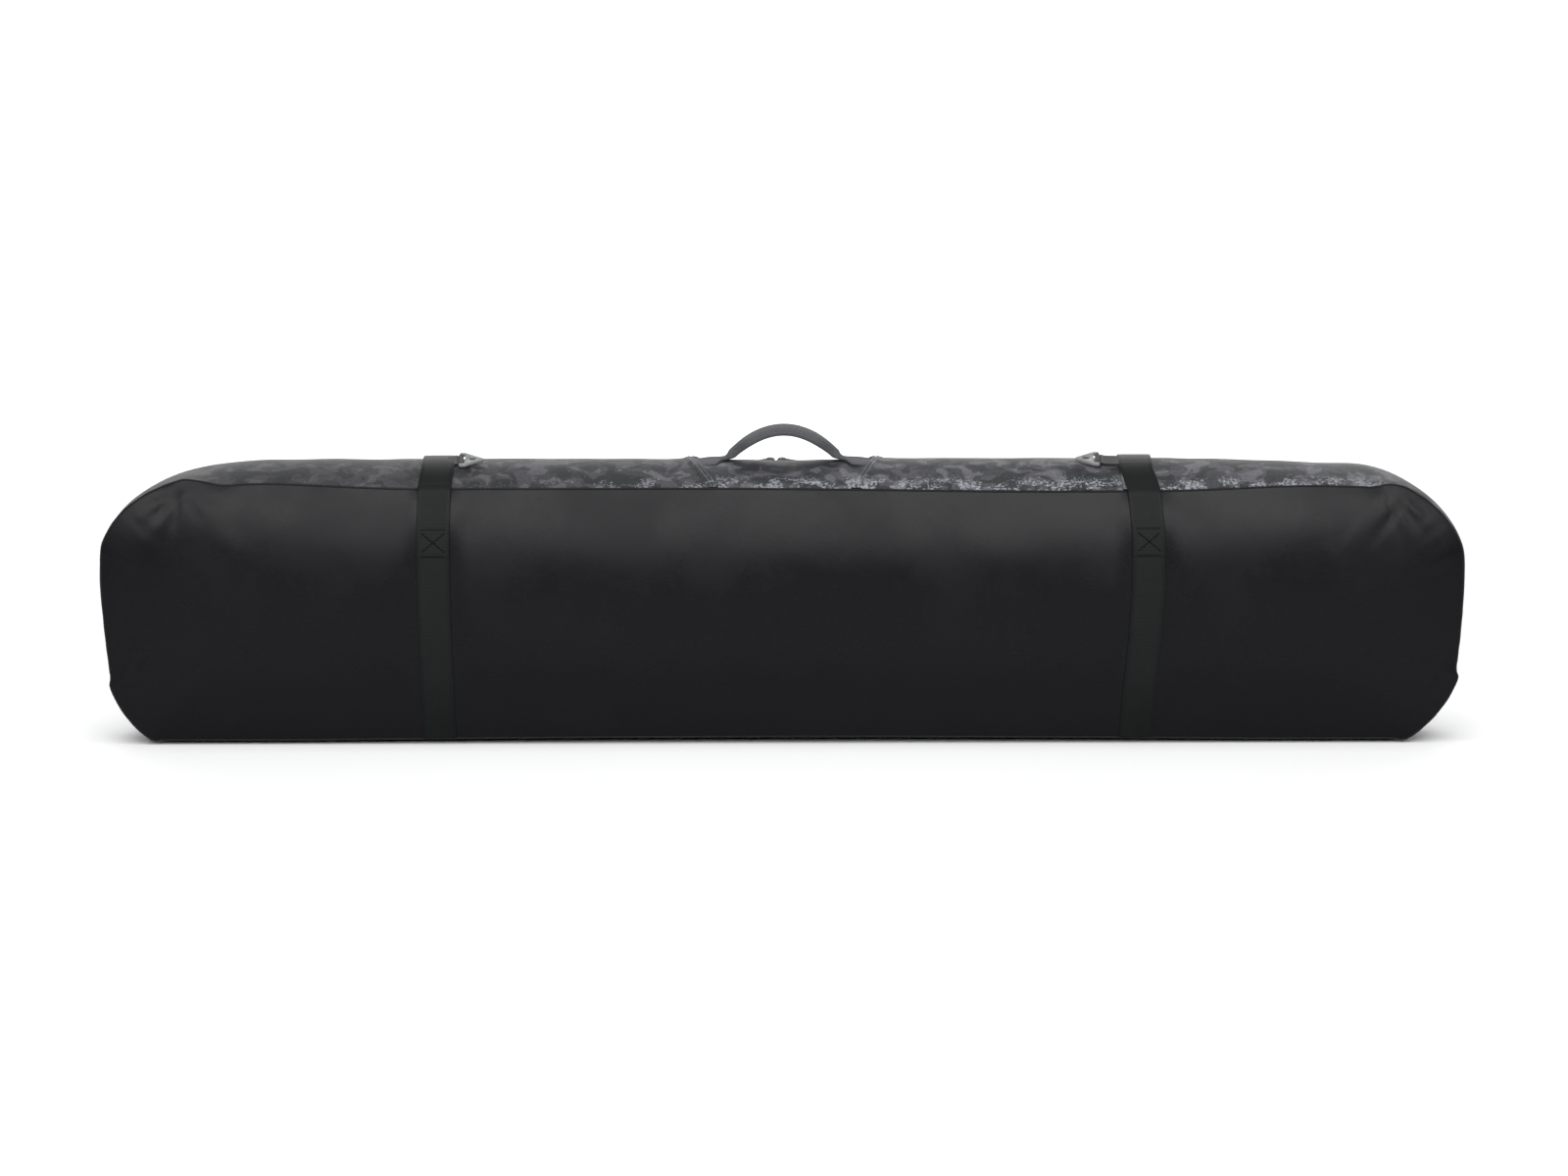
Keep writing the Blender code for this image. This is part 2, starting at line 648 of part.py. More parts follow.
def band(frame, thick, width):
    """A flat eight-sided section with softened corners."""
    place, out = frame
    side = Vector((0, 1, 0))
    cut = min(thick, width) * 0.3
    corners = ((1, 1), (-1, 1), (-1, -1), (1, -1))
    ring = []
    for number, (a, b) in enumerate(corners):
        first = (a * thick / 2, b * (width / 2 - cut))
        second = (a * (thick / 2 - cut), b * width / 2)
        for u, v in (first, second) if number % 2 == 0 else (second, first):
            ring.append(place + u * out + v * side)
    return ring


def make_handle(web, pad):
    frames = handle_arch(16)
    widths = [min(0.036, 0.011 + 1.6 * abs(frame[0].z - PIVOT_Z)) for frame in frames]
    inner = [band(frame, 0.0024, width) for frame, width in zip(frames, widths)]
    webbing = sweep("handle_webbing", inner, web)
    middle = frames[5:-5]
    outer = [band(frame, PAD_THICK, PAD_WIDTH) for frame in middle]
    bore = [band(frame, 0.0032, 0.0370) for frame in middle]
    grip = sleeve("handle_grip", outer, bore, pad)
    set_origin([webbing, grip], (HANDLE_X, 0, PIVOT_Z))
    for side, low, high in (("left", -0.100, -0.0690), ("right", 0.0730, 0.104)):
        run = [OUTLINE.top(low), OUTLINE.top(high)]
        strip(f"handle_foot_{side}", run, (-0.030, -0.025, 0.0, 0.025), (-0.0003, -0.0030), web)


# ---------------------------------------------------------------- triangular rings
def ring_frame(x, way):
    """Stands on the gusset, with its own X the way the ring points."""
    slope = 2 * seam_inset(0.0, 1.0) * -RING_Y / SEAM_Y ** 2
    frame = Matrix.Translation((x, RING_Y, crown_height(RING_Y)))
    frame = frame @ Matrix.Rotation(math.atan(slope), 4, "X")
    return frame @ Matrix.Rotation(0 if way > 0 else math.pi, 4, "Z")


def rounded_triangle(corners, radius, steps=3):
    """A closed path with an arc at each corner."""
    path = []
    count = len(corners)
    for number, corner in enumerate(corners):
        back = (corners[number - 1] - corner).normalized()
        ahead = (corners[(number + 1) % count] - corner).normalized()
        half = back.angle(ahead) / 2
        inward = (back + ahead).normalized()
        middle = corner + inward * radius / math.sin(half)
        start = (corner + back * radius / math.tan(half) - middle).normalized()
        finish = (corner + ahead * radius / math.tan(half) - middle).normalized()
        path += [middle + radius * start.slerp(finish, step / steps) for step in range(steps + 1)]
    return path


def make_ring(side, metal, web):
    x, way = RINGS[side]
    corners = [Vector((0, -RING_HALF, 0)), Vector((RING_LENGTH, 0, 0)), Vector((0, RING_HALF, 0))]
    path = rounded_triangle(corners, 0.0035)
    up = Vector((0, 0, 1))
    rings = []
    for number, place in enumerate(path):
        ahead = (path[(number + 1) % len(path)] - path[number - 1]).normalized()
        out = ahead.cross(up)
        turns = [math.tau * step / 8 for step in range(8)]
        rings.append([place + RING_WIRE * (math.cos(turn) * out + math.sin(turn) * up) for turn in turns])
    ring = sweep(f"d_ring_{side}", rings, metal, closed=True)
    frame = ring_frame(x, way)
    ring.matrix_world = frame @ Matrix.Translation((0, 0, RING_LIFT))
    near, far = RING_WIRE + 0.0004, RING_WIRE + 0.0014
    turns = [math.radians(angle) for angle in range(-90, 216, 34)]
    inner = [(near * math.cos(turn), RING_LIFT + near * math.sin(turn)) for turn in turns]
    outer = [(far * math.cos(turn), RING_LIFT + far * math.sin(turn)) for turn in turns]
    tail = -0.021 if side == "left" else -0.036
    inner = [(tail, 0.0014), (-0.0040, 0.0014)] + inner
    outer = [(tail, 0.0004), (-0.0040, 0.0004)] + outer
    grids = [[[Vector((a, v, w)) for v in (-0.008, 0.008)] for a, w in line] for line in (outer, inner)]
    tab = slab(f"d_ring_tab_{side}", grids[0], grids[1], web)
    tab.matrix_world = frame


# ---------------------------------------------------------------- assembly
def centre_on_ground():
    """Hangs everything from one empty that puts the bag's bottom centre at the origin."""
    bpy.context.view_layer.update()
    pieces = [thing for thing in bpy.context.scene.objects if thing.type == "MESH"]
    solid = [thing for thing in pieces if not thing.hide_render]
    corners = np.array([thing.matrix_world @ vertex.co for thing in solid for vertex in thing.data.vertices])
    low, high = corners.min(axis=0), corners.max(axis=0)
    bag = bpy.data.objects.new("bag", None)
    bpy.context.scene.collection.objects.link(bag)
    for thing in pieces:
        thing.parent = bag
    bag.location = (-(low[0] + high[0]) / 2, -(low[1] + high[1]) / 2, -low[2])
    bpy.context.view_layer.update()


def main():
    clear_scene()
    black_cloth = material("black_cloth", (0.014, 0.014, 0.015), 0.85)
    grey_cloth = material("coated_grey_cloth", (0.100, 0.098, 0.110), 0.45)
    foam = material("foam", (0.30, 0.30, 0.31), 0.95)
    lining = material("lining", (0.16, 0.16, 0.17), 0.80)
    webbing = material("webbing", (0.022, 0.023, 0.025), 0.75)
    piping = material("piping", (0.012, 0.012, 0.013), 0.70)
    plastic = material("black_plastic", (0.030, 0.031, 0.033), 0.30)
    teeth = material("zip_teeth", (0.020, 0.020, 0.021), 0.45)
    metal = material("dark_metal", (0.065, 0.067, 0.070), 0.30, 0.8)
    padding = material("handle_cloth", (0.090, 0.090, 0.096), 0.80)
    make_panels(black_cloth, foam, lining)
    make_gusset(grey_cloth, foam, lining)
    make_piping(piping)
    make_hinge_fold(piping)
    make_zip(piping, teeth, metal)
    for side in SLIDERS:
        make_slider(side, metal)
    make_straps(webbing)
    for side, x in STRAPS.items():
        make_buckle(side, x, plastic, webbing)
    make_handle(webbing, padding)
    for side in RINGS:
        make_ring(side, plastic, webbing)
    centre_on_ground()


main()
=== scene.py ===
"""The looks of the padded snowboard bag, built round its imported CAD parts.

Metres. Shapes are worked out in the bag's own frame, whose middle plane is y = 0 and whose lowest
point is z = 0. ORIGIN, which comes from the CAD parts' boxes, takes them into the row frame. The
back panel faces -Y. A place on the gusset is given by the distance s along the crown line, by Y,
and by the depth under the crown's surface.
"""

import math

import bmesh
import bpy
import numpy as np
from mathutils import Matrix, Vector, noise
from mathutils.geometry import delaunay_2d_cdt


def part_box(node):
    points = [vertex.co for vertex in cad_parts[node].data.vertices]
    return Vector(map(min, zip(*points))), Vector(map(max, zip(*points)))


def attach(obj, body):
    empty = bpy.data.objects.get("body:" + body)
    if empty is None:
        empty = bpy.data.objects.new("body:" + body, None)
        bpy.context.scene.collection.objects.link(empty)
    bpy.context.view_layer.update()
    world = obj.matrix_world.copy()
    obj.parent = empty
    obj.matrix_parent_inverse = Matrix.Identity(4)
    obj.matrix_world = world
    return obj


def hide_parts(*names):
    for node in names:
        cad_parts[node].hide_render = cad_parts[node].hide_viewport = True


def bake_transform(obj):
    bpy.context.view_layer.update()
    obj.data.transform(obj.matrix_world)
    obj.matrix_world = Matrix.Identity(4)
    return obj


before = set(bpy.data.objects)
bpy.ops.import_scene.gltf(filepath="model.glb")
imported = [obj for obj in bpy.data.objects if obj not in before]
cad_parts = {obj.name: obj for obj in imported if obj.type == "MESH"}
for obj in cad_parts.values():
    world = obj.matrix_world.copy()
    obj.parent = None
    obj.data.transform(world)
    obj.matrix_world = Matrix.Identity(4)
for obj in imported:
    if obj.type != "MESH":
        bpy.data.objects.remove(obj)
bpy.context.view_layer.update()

# ---------------------------------------------------------------- sizes, as in the CAD parts
HALF_LENGTH, HEIGHT, MID_HEIGHT, SPINE = 0.795, 0.3265, 0.165, 0.60
SEAM_Y, BULGE = 0.062, 0.013
CROWN_DROP = 0.029  # how far the crown has fallen at a panel seam
ARCH, ARCH_HALF = 0.003, 0.56
CORNERS = {
    "bottom_left": (0.053, 0.075, 1.6),
    "top_left": (0.230, 0.140, 2.5),
    "top_right": (0.135, 0.115, 1.9),
    "bottom_right": (0.064, 0.085, 1.56),
}
CLOTH, GAP = 0.0012, 0.0003
PAD_OUTER, PAD_INNER = 0.0015, 0.0076  # depths between which foam and lining lie
SEAM_EDGE = 0.0029
BASE_TOP = 0.0135
ZIP_Y, TUB_EDGE, LID_EDGE = 0.0380, 0.0280, 0.0480
TAPES = {"tub": (0.0275, 0.0354), "lid": (0.0406, 0.0485)}
TEETH_FOOT = 0.045
HINGE_Y, HINGE_Z, BEAD, LID_LOW = 0.0635, 0.0125, 0.0025, 0.0165
STRAPS = {"left": -0.397, "right": 0.412}
WEBBING, WEB_THICK = 0.038, 0.0014
SHOULDER_LENGTH = 0.116  # the webbing from the box stitch to the crown
BOX_LOW, BOX_HIGH = 0.220, 0.253
BUCKLE_MOUTH, BUCKLE_TILT = (0.0668, 0.3017), math.radians(52)
HANDLE_X, ARCH_TOP = 0.002, 0.3603
TOP_SEAMS, CURVE = (-0.384, -0.103, 0.106, 0.390), (0.031, -0.027)
RINGS, RING_Y, RING_LIFT = {"left": (-0.3725, 1), "right": (0.3660, -1)}, -0.020, 0.0042
SLIDERS = {"left": (-0.014, -1), "right": (0.0, 1)}

# ---------------------------------------------------------------- sizes of the looks
PUCKERS = ((-0.688, 0.0022), (0.699, 0.0020))  # x and height of the gathers in the upper seam
LOW_PUCKERS = ((-0.762, 0.062), (0.760, 0.058))
END_PUFF = 0.0050  # how far the cloth swells out above the lower corners
LATTICE = 0.0060  # spacing of the points in a panel's cloth
CAP = 0.0035  # how far the simulation may move the panel's cloth
DRAPE_FRAMES = 20
CAMOUFLAGE = ((0.012, 0.015, 0.015), (0.030, 0.032, 0.034), (0.050, 0.047, 0.054),
              (0.100, 0.097, 0.106))  # dark, cool, mauve, pale
# colour of the painted glints: pale bluish-grey specks of painted highlight near the top seams
GLINT_COLOUR = (0.215, 0.222, 0.245)
BOWS = {"left": (0.0000, -0.0046, -0.0012), "right": (-0.0035, 0.0100, -0.0030)}  # foot, box, crown
BOW_REACH = (0.0, 0.06, 0.12, 0.18, 0.24, 0.30, 0.35, 0.40, 0.43)
TOOTH_PITCH = 0.0025
TWIST = math.radians(8)  # how far the rings lean out over the back
TAB_DROOP = math.radians(9)  # how far the pull tabs hang towards the zip
STITCH, STITCH_STEP, THREAD = 0.0030, 0.0035, 0.00045


def bag_origin():
    """Where the bag's own frame stands in the row frame."""
    (low, high), (near, _), (_, far) = (
        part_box(n) for n in ("handle_webbing", "back_piping", "lid_piping"))
    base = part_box("base_shell")[0]
    return np.array(((low.x + high.x) / 2 - HANDLE_X, (near.y + far.y) / 2, base.z))


ORIGIN = bag_origin()


# ---------------------------------------------------------------- mesh building
def smooth(t):
    """0 up to t = 0, 1 from t = 1, and a soft step between."""
    t = np.clip(t, 0.0, 1.0)
    return t * t * (3 - 2 * t)


def link(name, data):
    """Puts a mesh, curve, light or camera in the scene, in its own object."""
    made = bpy.data.objects.new(name, data)
    bpy.context.scene.collection.objects.link(made)
    return made


def add_piece(name, points, faces, look, uv=None, crease=40):
    """One closed mesh, given in the bag's frame, in its own object."""
    mesh = bpy.data.meshes.new(name)
    mesh.from_pydata((np.asarray(points, float) + ORIGIN).tolist(), [], faces)
    builder = bmesh.new()
    builder.from_mesh(mesh)
    bmesh.ops.recalc_face_normals(builder, faces=builder.faces)
    builder.to_mesh(mesh)
    builder.free()
    mesh.shade_smooth()
    mesh.set_sharp_from_angle(angle=math.radians(crease))
    if uv is not None:
        layer = mesh.uv_layers.new(name="cloth")
        corner = np.empty(len(mesh.loops), int)
        mesh.loops.foreach_get("vertex_index", corner)
        layer.data.foreach_set("uv", np.asarray(uv, np.float32)[corner].ravel())
    mesh.materials.append(look)
    piece = link(name, mesh)
    return piece


class Parts:
    """Gathers small closed bodies into one mesh."""

    def __init__(self):
        self.points, self.faces, self.count = [], [], 0

    def add(self, points, faces):
        points = np.asarray(points, float).reshape(-1, 3)
        self.points.append(points)
        self.faces += [[corner + self.count for corner in face] for face in faces]
        self.count += len(points)

    def piece(self, name, look, slot):
        return add_piece(name, np.concatenate(self.points), self.faces, look)


def grid_faces(rows, columns, wrap=False):
    """Quads of a grid of points, counted row by row. With wrap, the last column joins the first."""
    width = columns if wrap else columns - 1
    row, column = np.meshgrid(np.arange(rows - 1), np.arange(width), indexing="ij")
    ahead = (column + 1) % columns
    quads = np.stack((row * columns + column, (row + 1) * columns + column,
                      (row + 1) * columns + ahead, row * columns + ahead), -1)
    return quads.reshape(-1, 4).tolist()


def slab_faces(rows, columns):
    """Faces of two grids, outer then inner, joined round their four edges."""
    size = rows * columns
    sheet = grid_faces(rows, columns)
    faces = sheet + [[corner + size for corner in face[::-1]] for face in sheet]
    rim = [row * columns for row in range(rows)]
    rim += [(rows - 1) * columns + column for column in range(1, columns)]
    rim += [row * columns + columns - 1 for row in range(rows - 2, -1, -1)]
    rim += list(range(columns - 2, 0, -1))
    for here, there in zip(rim, rim[1:] + rim[:1]):
        faces.append((here, there, there + size, here + size))
    return faces


def slab(name, outer, inner, look, uv):
    """Two grids of points as one sheet with a thickness. Both faces share the cloth coordinates."""
    points = np.concatenate((outer.reshape(-1, 3), inner.reshape(-1, 3)))
    uv = np.tile(uv.reshape(-1, 2), (2, 1))
    return add_piece(name, points, slab_faces(*outer.shape[:2]), look, uv)


def tube_faces(rings, count, closed=False):
    """Faces of rings of points in a row: capped at both ends, or closed into a loop."""
    faces = grid_faces(rings, count, wrap=True)
    if closed:
        last = (rings - 1) * count
        faces += [(last + k, k, (k + 1) % count, last + (k + 1) % count) for k in range(count)]
    else:
        faces += [list(range(count)), list(range((rings - 1) * count, rings * count))]
    return faces


def wavy(points, size, seed):
    """Soft noise between about -1 and 1 at each point."""
    flat = np.asarray(points, float).reshape(-1, 3) / size
    values = [noise.noise(Vector((x + seed, y - seed, z))) for x, y, z in flat]
    return np.array(values).reshape(np.asarray(points).shape[:-1])


def unit(vectors):
    return vectors / np.linalg.norm(vectors, axis=-1, keepdims=True)


def full_turn(count):
    return np.arange(count) * math.tau / count


def curve_through(points, step):
    """A smooth line through points, resampled evenly."""
    points = np.asarray(points, float)
    ends = (2 * points[:1] - points[1:2], points, 2 * points[-1:] - points[-2:-1])
    guide = np.concatenate(ends)
    t = np.linspace(0, 1, 12, endpoint=False)[:, None]
    runs = []
    for a, b, c, d in zip(guide, guide[1:], guide[2:], guide[3:]):
        runs.append(0.5 * (2 * b + (c - a) * t + (2 * a - 5 * b + 4 * c - d) * t ** 2
                           + (3 * b - a - 3 * c + d) * t ** 3))
    line = np.concatenate([*runs, points[-1:]])
    return resample(line, step)


def distances(line):
    """How far along a line each of its points is."""
    return np.concatenate(([0.0], np.cumsum(np.linalg.norm(np.diff(line, axis=0), axis=1))))


def resample(line, step):
    """The same line with evenly spaced points."""
    along = distances(line)
    marks = np.linspace(0, along[-1], max(2, round(along[-1] / step) + 1))
    return np.stack([np.interp(marks, along, line[:, k]) for k in range(line.shape[1])], -1)


# ---------------------------------------------------------------- the bag's outline
def outline_points():
    """Clockwise seen from the back, from the middle of the bottom."""
    def quarter(name):
        wide, tall, power = CORNERS[name]
        turn = np.linspace(0, math.pi / 2, 90)
        return wide, tall, wide * np.sin(turn) ** (2 / power), tall * np.cos(turn) ** (2 / power)

    runs = []

    def add(x, z):
        runs.append(np.stack(np.broadcast_arrays(x, z), -1))

    wide, low, out, up = quarter("bottom_left")
    add(np.linspace(0, wide - HALF_LENGTH, 120), 0.0)
    add(wide - HALF_LENGTH - out, low - up)
    wide, tall, out, up = quarter("top_left")
    add(-HALF_LENGTH, np.linspace(low, HEIGHT - tall, 120))
    add(wide - HALF_LENGTH - out[::-1], HEIGHT - tall + up[::-1])
    left = wide - HALF_LENGTH
    wide, tall, out, up = quarter("top_right")
    add(np.linspace(left, HALF_LENGTH - wide, 400), HEIGHT)
    add(HALF_LENGTH - wide + out, HEIGHT - tall + up)
    high = HEIGHT - tall
    wide, tall, out, up = quarter("bottom_right")
    add(HALF_LENGTH, np.linspace(high, tall, 120))
    add(HALF_LENGTH - wide + out[::-1], tall - up[::-1])
    add(np.linspace(HALF_LENGTH - wide, 0, 120), 0.0)
    x, z = np.concatenate(runs).T
    droop = 0.013 * (np.clip(x - 0.45, 0, None) / 0.345) ** 1.2 * z / HEIGHT
    rise = ARCH * np.clip(1 - (x / ARCH_HALF) ** 2, 0, None) * (z < MID_HEIGHT)
    lean = 1 - 0.0138 * (np.clip(0.2 - z, 0, None) / 0.121) ** 1.5
    return x * lean, z - droop + rise


class Outline:
    """The crown line round the bag, by the distance along it from the base's left joint."""

    def __init__(self):
        x, z = outline_points()
        keep = np.concatenate(([True], np.hypot(np.diff(x), np.diff(z)) > 1e-7))
        x, z = x[keep], z[keep]
        along = np.concatenate(([0.0], np.cumsum(np.hypot(np.diff(x), np.diff(z)))))
        self.length = along[-1]
        self.s = np.linspace(0, self.length, 2400, endpoint=False)
        x, z = np.interp(self.s, along, x), np.interp(self.s, along, z)
        start = np.argmax((x < -0.5) & (z > BASE_TOP))
        self.x, self.z = np.roll(x, -start), np.roll(z, -start)
        dx = np.roll(self.x, -2) - np.roll(self.x, 2)
        dz = np.roll(self.z, -2) - np.roll(self.z, 2)
        size = np.hypot(dx, dz)
        self.nx, self.nz = -dz / size, dx / size

    def at(self, s):
        """Position and outward direction in X and Z."""
        return [np.interp(s, self.s, v, period=self.length)
                for v in (self.x, self.z, self.nx, self.nz)]

    def top(self, x):
        rows = np.where(self.z > MID_HEIGHT)[0]
        return np.interp(x, self.x[rows], self.s[rows])

    def end(self, side, z):
        rows = np.where((self.x * side > 0.6) & (self.z < 0.2))[0]
        order = rows[np.argsort(self.z[rows])]
        return float(np.interp(z, self.z[order], self.s[order]))


OUTLINE = Outline()
BASE_START = OUTLINE.end(1, BASE_TOP)
LID_START, LID_STOP = OUTLINE.end(-1, LID_LOW), OUTLINE.end(1, LID_LOW)


def pucker_raise(x):
    """The gathered seam climbs towards a pucker from the middle and drops behind it."""
    total = 0.0
    for place, height in PUCKERS:
        t = (x - place) * math.copysign(1, place)
        total = total + height * np.where(t < 0, np.exp(-(t / 0.030) ** 2),
                                          np.exp(-(t / 0.010) ** 2))
    return total


def seam_inset(x, nz, back=True):
    """How far a panel seam lies inside the crown line. The back's sags lower along the top."""
    side, right = np.abs(x), smooth(np.asarray(x) / 0.1)
    lid = 0.004 + 0.025 * smooth((0.72 - side) / 0.17) + 0.004 * (1 - nz) ** 2
    end = smooth((0.708 + 0.014 * right - side) / (0.072 - 0.027 * right))
    full = (0.0038 + 0.0022 * right + (0.0175 - 0.0025 * right) * end
            + 0.0075 * smooth((0.64 - side) / 0.23)
            + 0.0044 * smooth((x + 0.10) / 0.42) * smooth((0.64 - x) / 0.2) - pucker_raise(x))
    low = 0.008 + 0.003 * nz
    corner = (0.0042 + 0.0018 * right) * smooth((-nz - 0.02) / 0.30) * smooth((nz + 1) / 0.12)
    corner = corner * (side > 0.6)
    full = np.where(nz > 0.35, full, low - corner + (full - low) * smooth(nz / 0.35))
    return np.where(back, np.where(nz < 0, low - corner, full), np.where(nz < 0, low, lid))


def swell(y, nz):
    """0 on the middle line and 1 at the panel seams. The base stays flat for part of the way."""
    flat = 0.4 * np.clip(-nz, 0, None)
    return (np.clip(np.abs(y) / SEAM_Y - flat, 0, None) / (1 - flat)) ** 2


def skin(s, y, depth):
    """Points on or under the gusset's outer face."""
    x, z, nx, nz = OUTLINE.at(s)
    puff = END_PUFF * np.exp(-((z - 0.052) / 0.026) ** 2) * (np.abs(x) > 0.6) * (1 - swell(y, 0.0))
    inset = seam_inset(x, nz, np.asarray(y) < 0) * swell(y, nz) + depth - puff
    return np.stack(np.broadcast_arrays(x - nx * inset, y, z - nz * inset), -1)


def crown_height(y, x=0.0):
    """The top's height. With x, the back half follows the seam there."""
    inset = float(seam_inset(np.float64(x), 1.0)) if y < 0 and x else CROWN_DROP
    return HEIGHT - inset * (y / SEAM_Y) ** 2


def crown_slope(y):
    return 2 * CROWN_DROP * y / SEAM_Y ** 2


def seam_line(s, edge, back):
    """A panel seam's X and Z, drawn inwards by an edge."""
    x, z, nx, nz = OUTLINE.at(s)
    inset = seam_inset(x, nz, back) + edge
    return np.stack((x - nx * inset, z - nz * inset), -1)


class Rim:
    """A panel's edge, read as the share of the way out from the middle line."""

    def __init__(self, edge, floor, back, step=0.005):
        run = np.linspace(0, OUTLINE.length, round(OUTLINE.length / step), endpoint=False)
        self.line = seam_line(run, edge, back)
        self.line[:, 1] = np.maximum(self.line[:, 1], floor)
        x, z = self.line.T
        self.sides = {}
        for way in (-1, 1):
            keep = (z - MID_HEIGHT) * way > 0
            order = np.argsort(x[keep])
            self.sides[way] = (x[keep][order], z[keep][order])
        self.ends = {}
        for way in (-1, 1):
            keep = x * way > SPINE - 0.02
            turn = np.arctan2(z[keep] - MID_HEIGHT, (x[keep] - way * SPINE) * way)
            radius = np.hypot(z[keep] - MID_HEIGHT, x[keep] - way * SPINE)
            order = np.argsort(turn)
            self.ends[way] = (turn[order], radius[order])

    def share(self, x, z):
        rise = z - MID_HEIGHT
        reach = np.where(rise > 0, np.interp(x, *self.sides[1]), np.interp(x, *self.sides[-1]))
        value = np.abs(rise) / np.abs(reach - MID_HEIGHT)
        for way in (-1, 1):
            out = x * way - SPINE
            turned = np.interp(np.arctan2(rise, out), *self.ends[way])
            value = np.where(out > 0, np.hypot(rise, out) / turned, value)
        return value


def panel_swell(share):
    return BULGE * (1 - np.clip(share, 0, 1) ** 4)


BACK_RIM = Rim(SEAM_EDGE - 0.0012, 0.0, True)
LID_RIM = Rim(SEAM_EDGE - 0.0012, HINGE_Z + BEAD + GAP, False)


def panel_face(x, z, side):
    rim = BACK_RIM if side < 0 else LID_RIM
    return SEAM_Y + panel_swell(rim.share(np.asarray(x, float), np.asarray(z, float)))


# ---------------------------------------------------------------- materials
class Graph:
    """Short calls for building a material's nodes."""

    def __init__(self, name, roughness=0.7, metallic=0.0, specular=0.5, sheen=0.0):
        self.look = bpy.data.materials.new(name)
        self.look.use_nodes = True
        self.tree = self.look.node_tree
        self.shader = self.tree.nodes["Principled BSDF"]
        self.fill(self.shader, {"Roughness": roughness, "Metallic": metallic,
                                "Specular IOR Level": specular, "Sheen Weight": sheen})

    def node(self, kind, **settings):
        made = self.tree.nodes.new("ShaderNode" + kind)
        for key, value in settings.items():
            setattr(made, key, value)
        return made

    def fill(self, made, inputs):
        """Gives a node's inputs their values, or their links."""
        for socket, source in inputs.items():
            self.plug(source, made.inputs[socket])
        return made

    def plug(self, source, socket):
        if isinstance(source, (int, float)):
            socket.default_value = source
        elif isinstance(source, tuple):
            socket.default_value = (*source, 1.0)[:len(socket.default_value)]
        else:
            self.tree.links.new(source, socket)

    def math(self, operation, a, b=0.0):
        return self.fill(self.node("Math", operation=operation), {0: a, 1: b}).outputs[0]

    def place(self, uv=False, stretch=(1, 1, 1), turn=(0, 0, 0)):
        """Object or cloth coordinates, in metres, stretched and turned."""
        made = self.node("UVMap", uv_map="cloth") if uv else self.node("TexCoord")
        mapping = self.node("Mapping")
        self.plug(made.outputs["UV" if uv else "Object"], mapping.inputs["Vector"])
        mapping.inputs["Scale"].default_value = stretch
        mapping.inputs["Rotation"].default_value = turn
        return mapping.outputs[0]

    def noise(self, where, size, detail=2.0, roughness=0.5, distortion=0.0):
        made = self.fill(self.node("TexNoise"),
                         {"Vector": where, "Scale": 1 / size, "Detail": detail,
                          "Roughness": roughness, "Distortion": distortion})
        return made.outputs["Fac"]

    def wave(self, where, size, axis):
        """Ridges that repeat every size along an axis, between 0 and 1."""
        made = self.node("TexWave", wave_type="BANDS", bands_direction=axis, wave_profile="SIN")
        return self.fill(made, {"Vector": where, "Scale": math.pi / 10 / size}).outputs["Fac"]

    def ramp(self, value, low, high):
        """Turns low..high into 0..1, smoothly."""
        made = self.node("MapRange", interpolation_type="SMOOTHSTEP")
        return self.fill(made, {"Value": value, "From Min": low, "From Max": high}).outputs[0]

    def span(self, value, low, high):
        """Turns 0..1 into low..high."""
        made = self.node("MapRange")
        return self.fill(made, {"Value": value, "To Min": low, "To Max": high}).outputs[0]

    def mix(self, factor, a, b, blend="MIX"):
        made = self.node("Mix", data_type="RGBA", blend_type=blend)
        return self.fill(made, {"Factor": factor, 6: a, 7: b}).outputs[2]

    def colour(self, source):
        self.plug(source, self.shader.inputs["Base Color"])

    def rough(self, source):
        self.plug(source, self.shader.inputs["Roughness"])

    def bump(self, height, depth, strength):
        made = self.fill(self.node("Bump"),
                         {"Strength": strength, "Distance": depth, "Height": height})
        self.plug(made.outputs[0], self.shader.inputs["Normal"])

    def weave(self, where, pitch, axes=("X", "Z")):
        """A plain weave: threads cross over and under each other."""
        first = self.wave(where, pitch, axes[0])
        second = self.wave(where, pitch, axes[1])
        return self.math("MAXIMUM", first, second)

    def darker(self, tone, factor):
        """A darker version of a tone that comes from other nodes."""
        return self.mix(1.0, tone, (factor, factor, factor), "MULTIPLY")

    def shifted(self, where, shift):
        made = self.node("VectorMath", operation="ADD")
        self.plug(where, made.inputs[0])
        made.inputs[1].default_value = shift
        return made.outputs[0]

    def axes(self, where):
        """The X, Y and Z of a place."""
        parts = self.node("SeparateXYZ")
        self.plug(where, parts.inputs[0])
        return parts.outputs

    def seam_glint_band(self):
        """1 beside the two panel seams along the top, fading within a few centimetres. It places
        the painted glints: weaker towards the left end and gone at the right end.
        """
        x, y, _ = self.axes(self.node("TexCoord").outputs["Object"])
        away = self.math("ABSOLUTE", self.math("SUBTRACT", y, float(ORIGIN[1])))
        near = self.ramp(away, SEAM_Y - 0.026, SEAM_Y - 0.006)
        along, ends = self.ramp(x, -0.52, 0.05), self.ramp(x, 0.74, 0.66)
        return self.math("MULTIPLY", near, self.math("MULTIPLY", self.span(along, 0.25, 1.0), ends))


def scaled(colour, factor):
    return tuple(channel * factor for channel in colour)


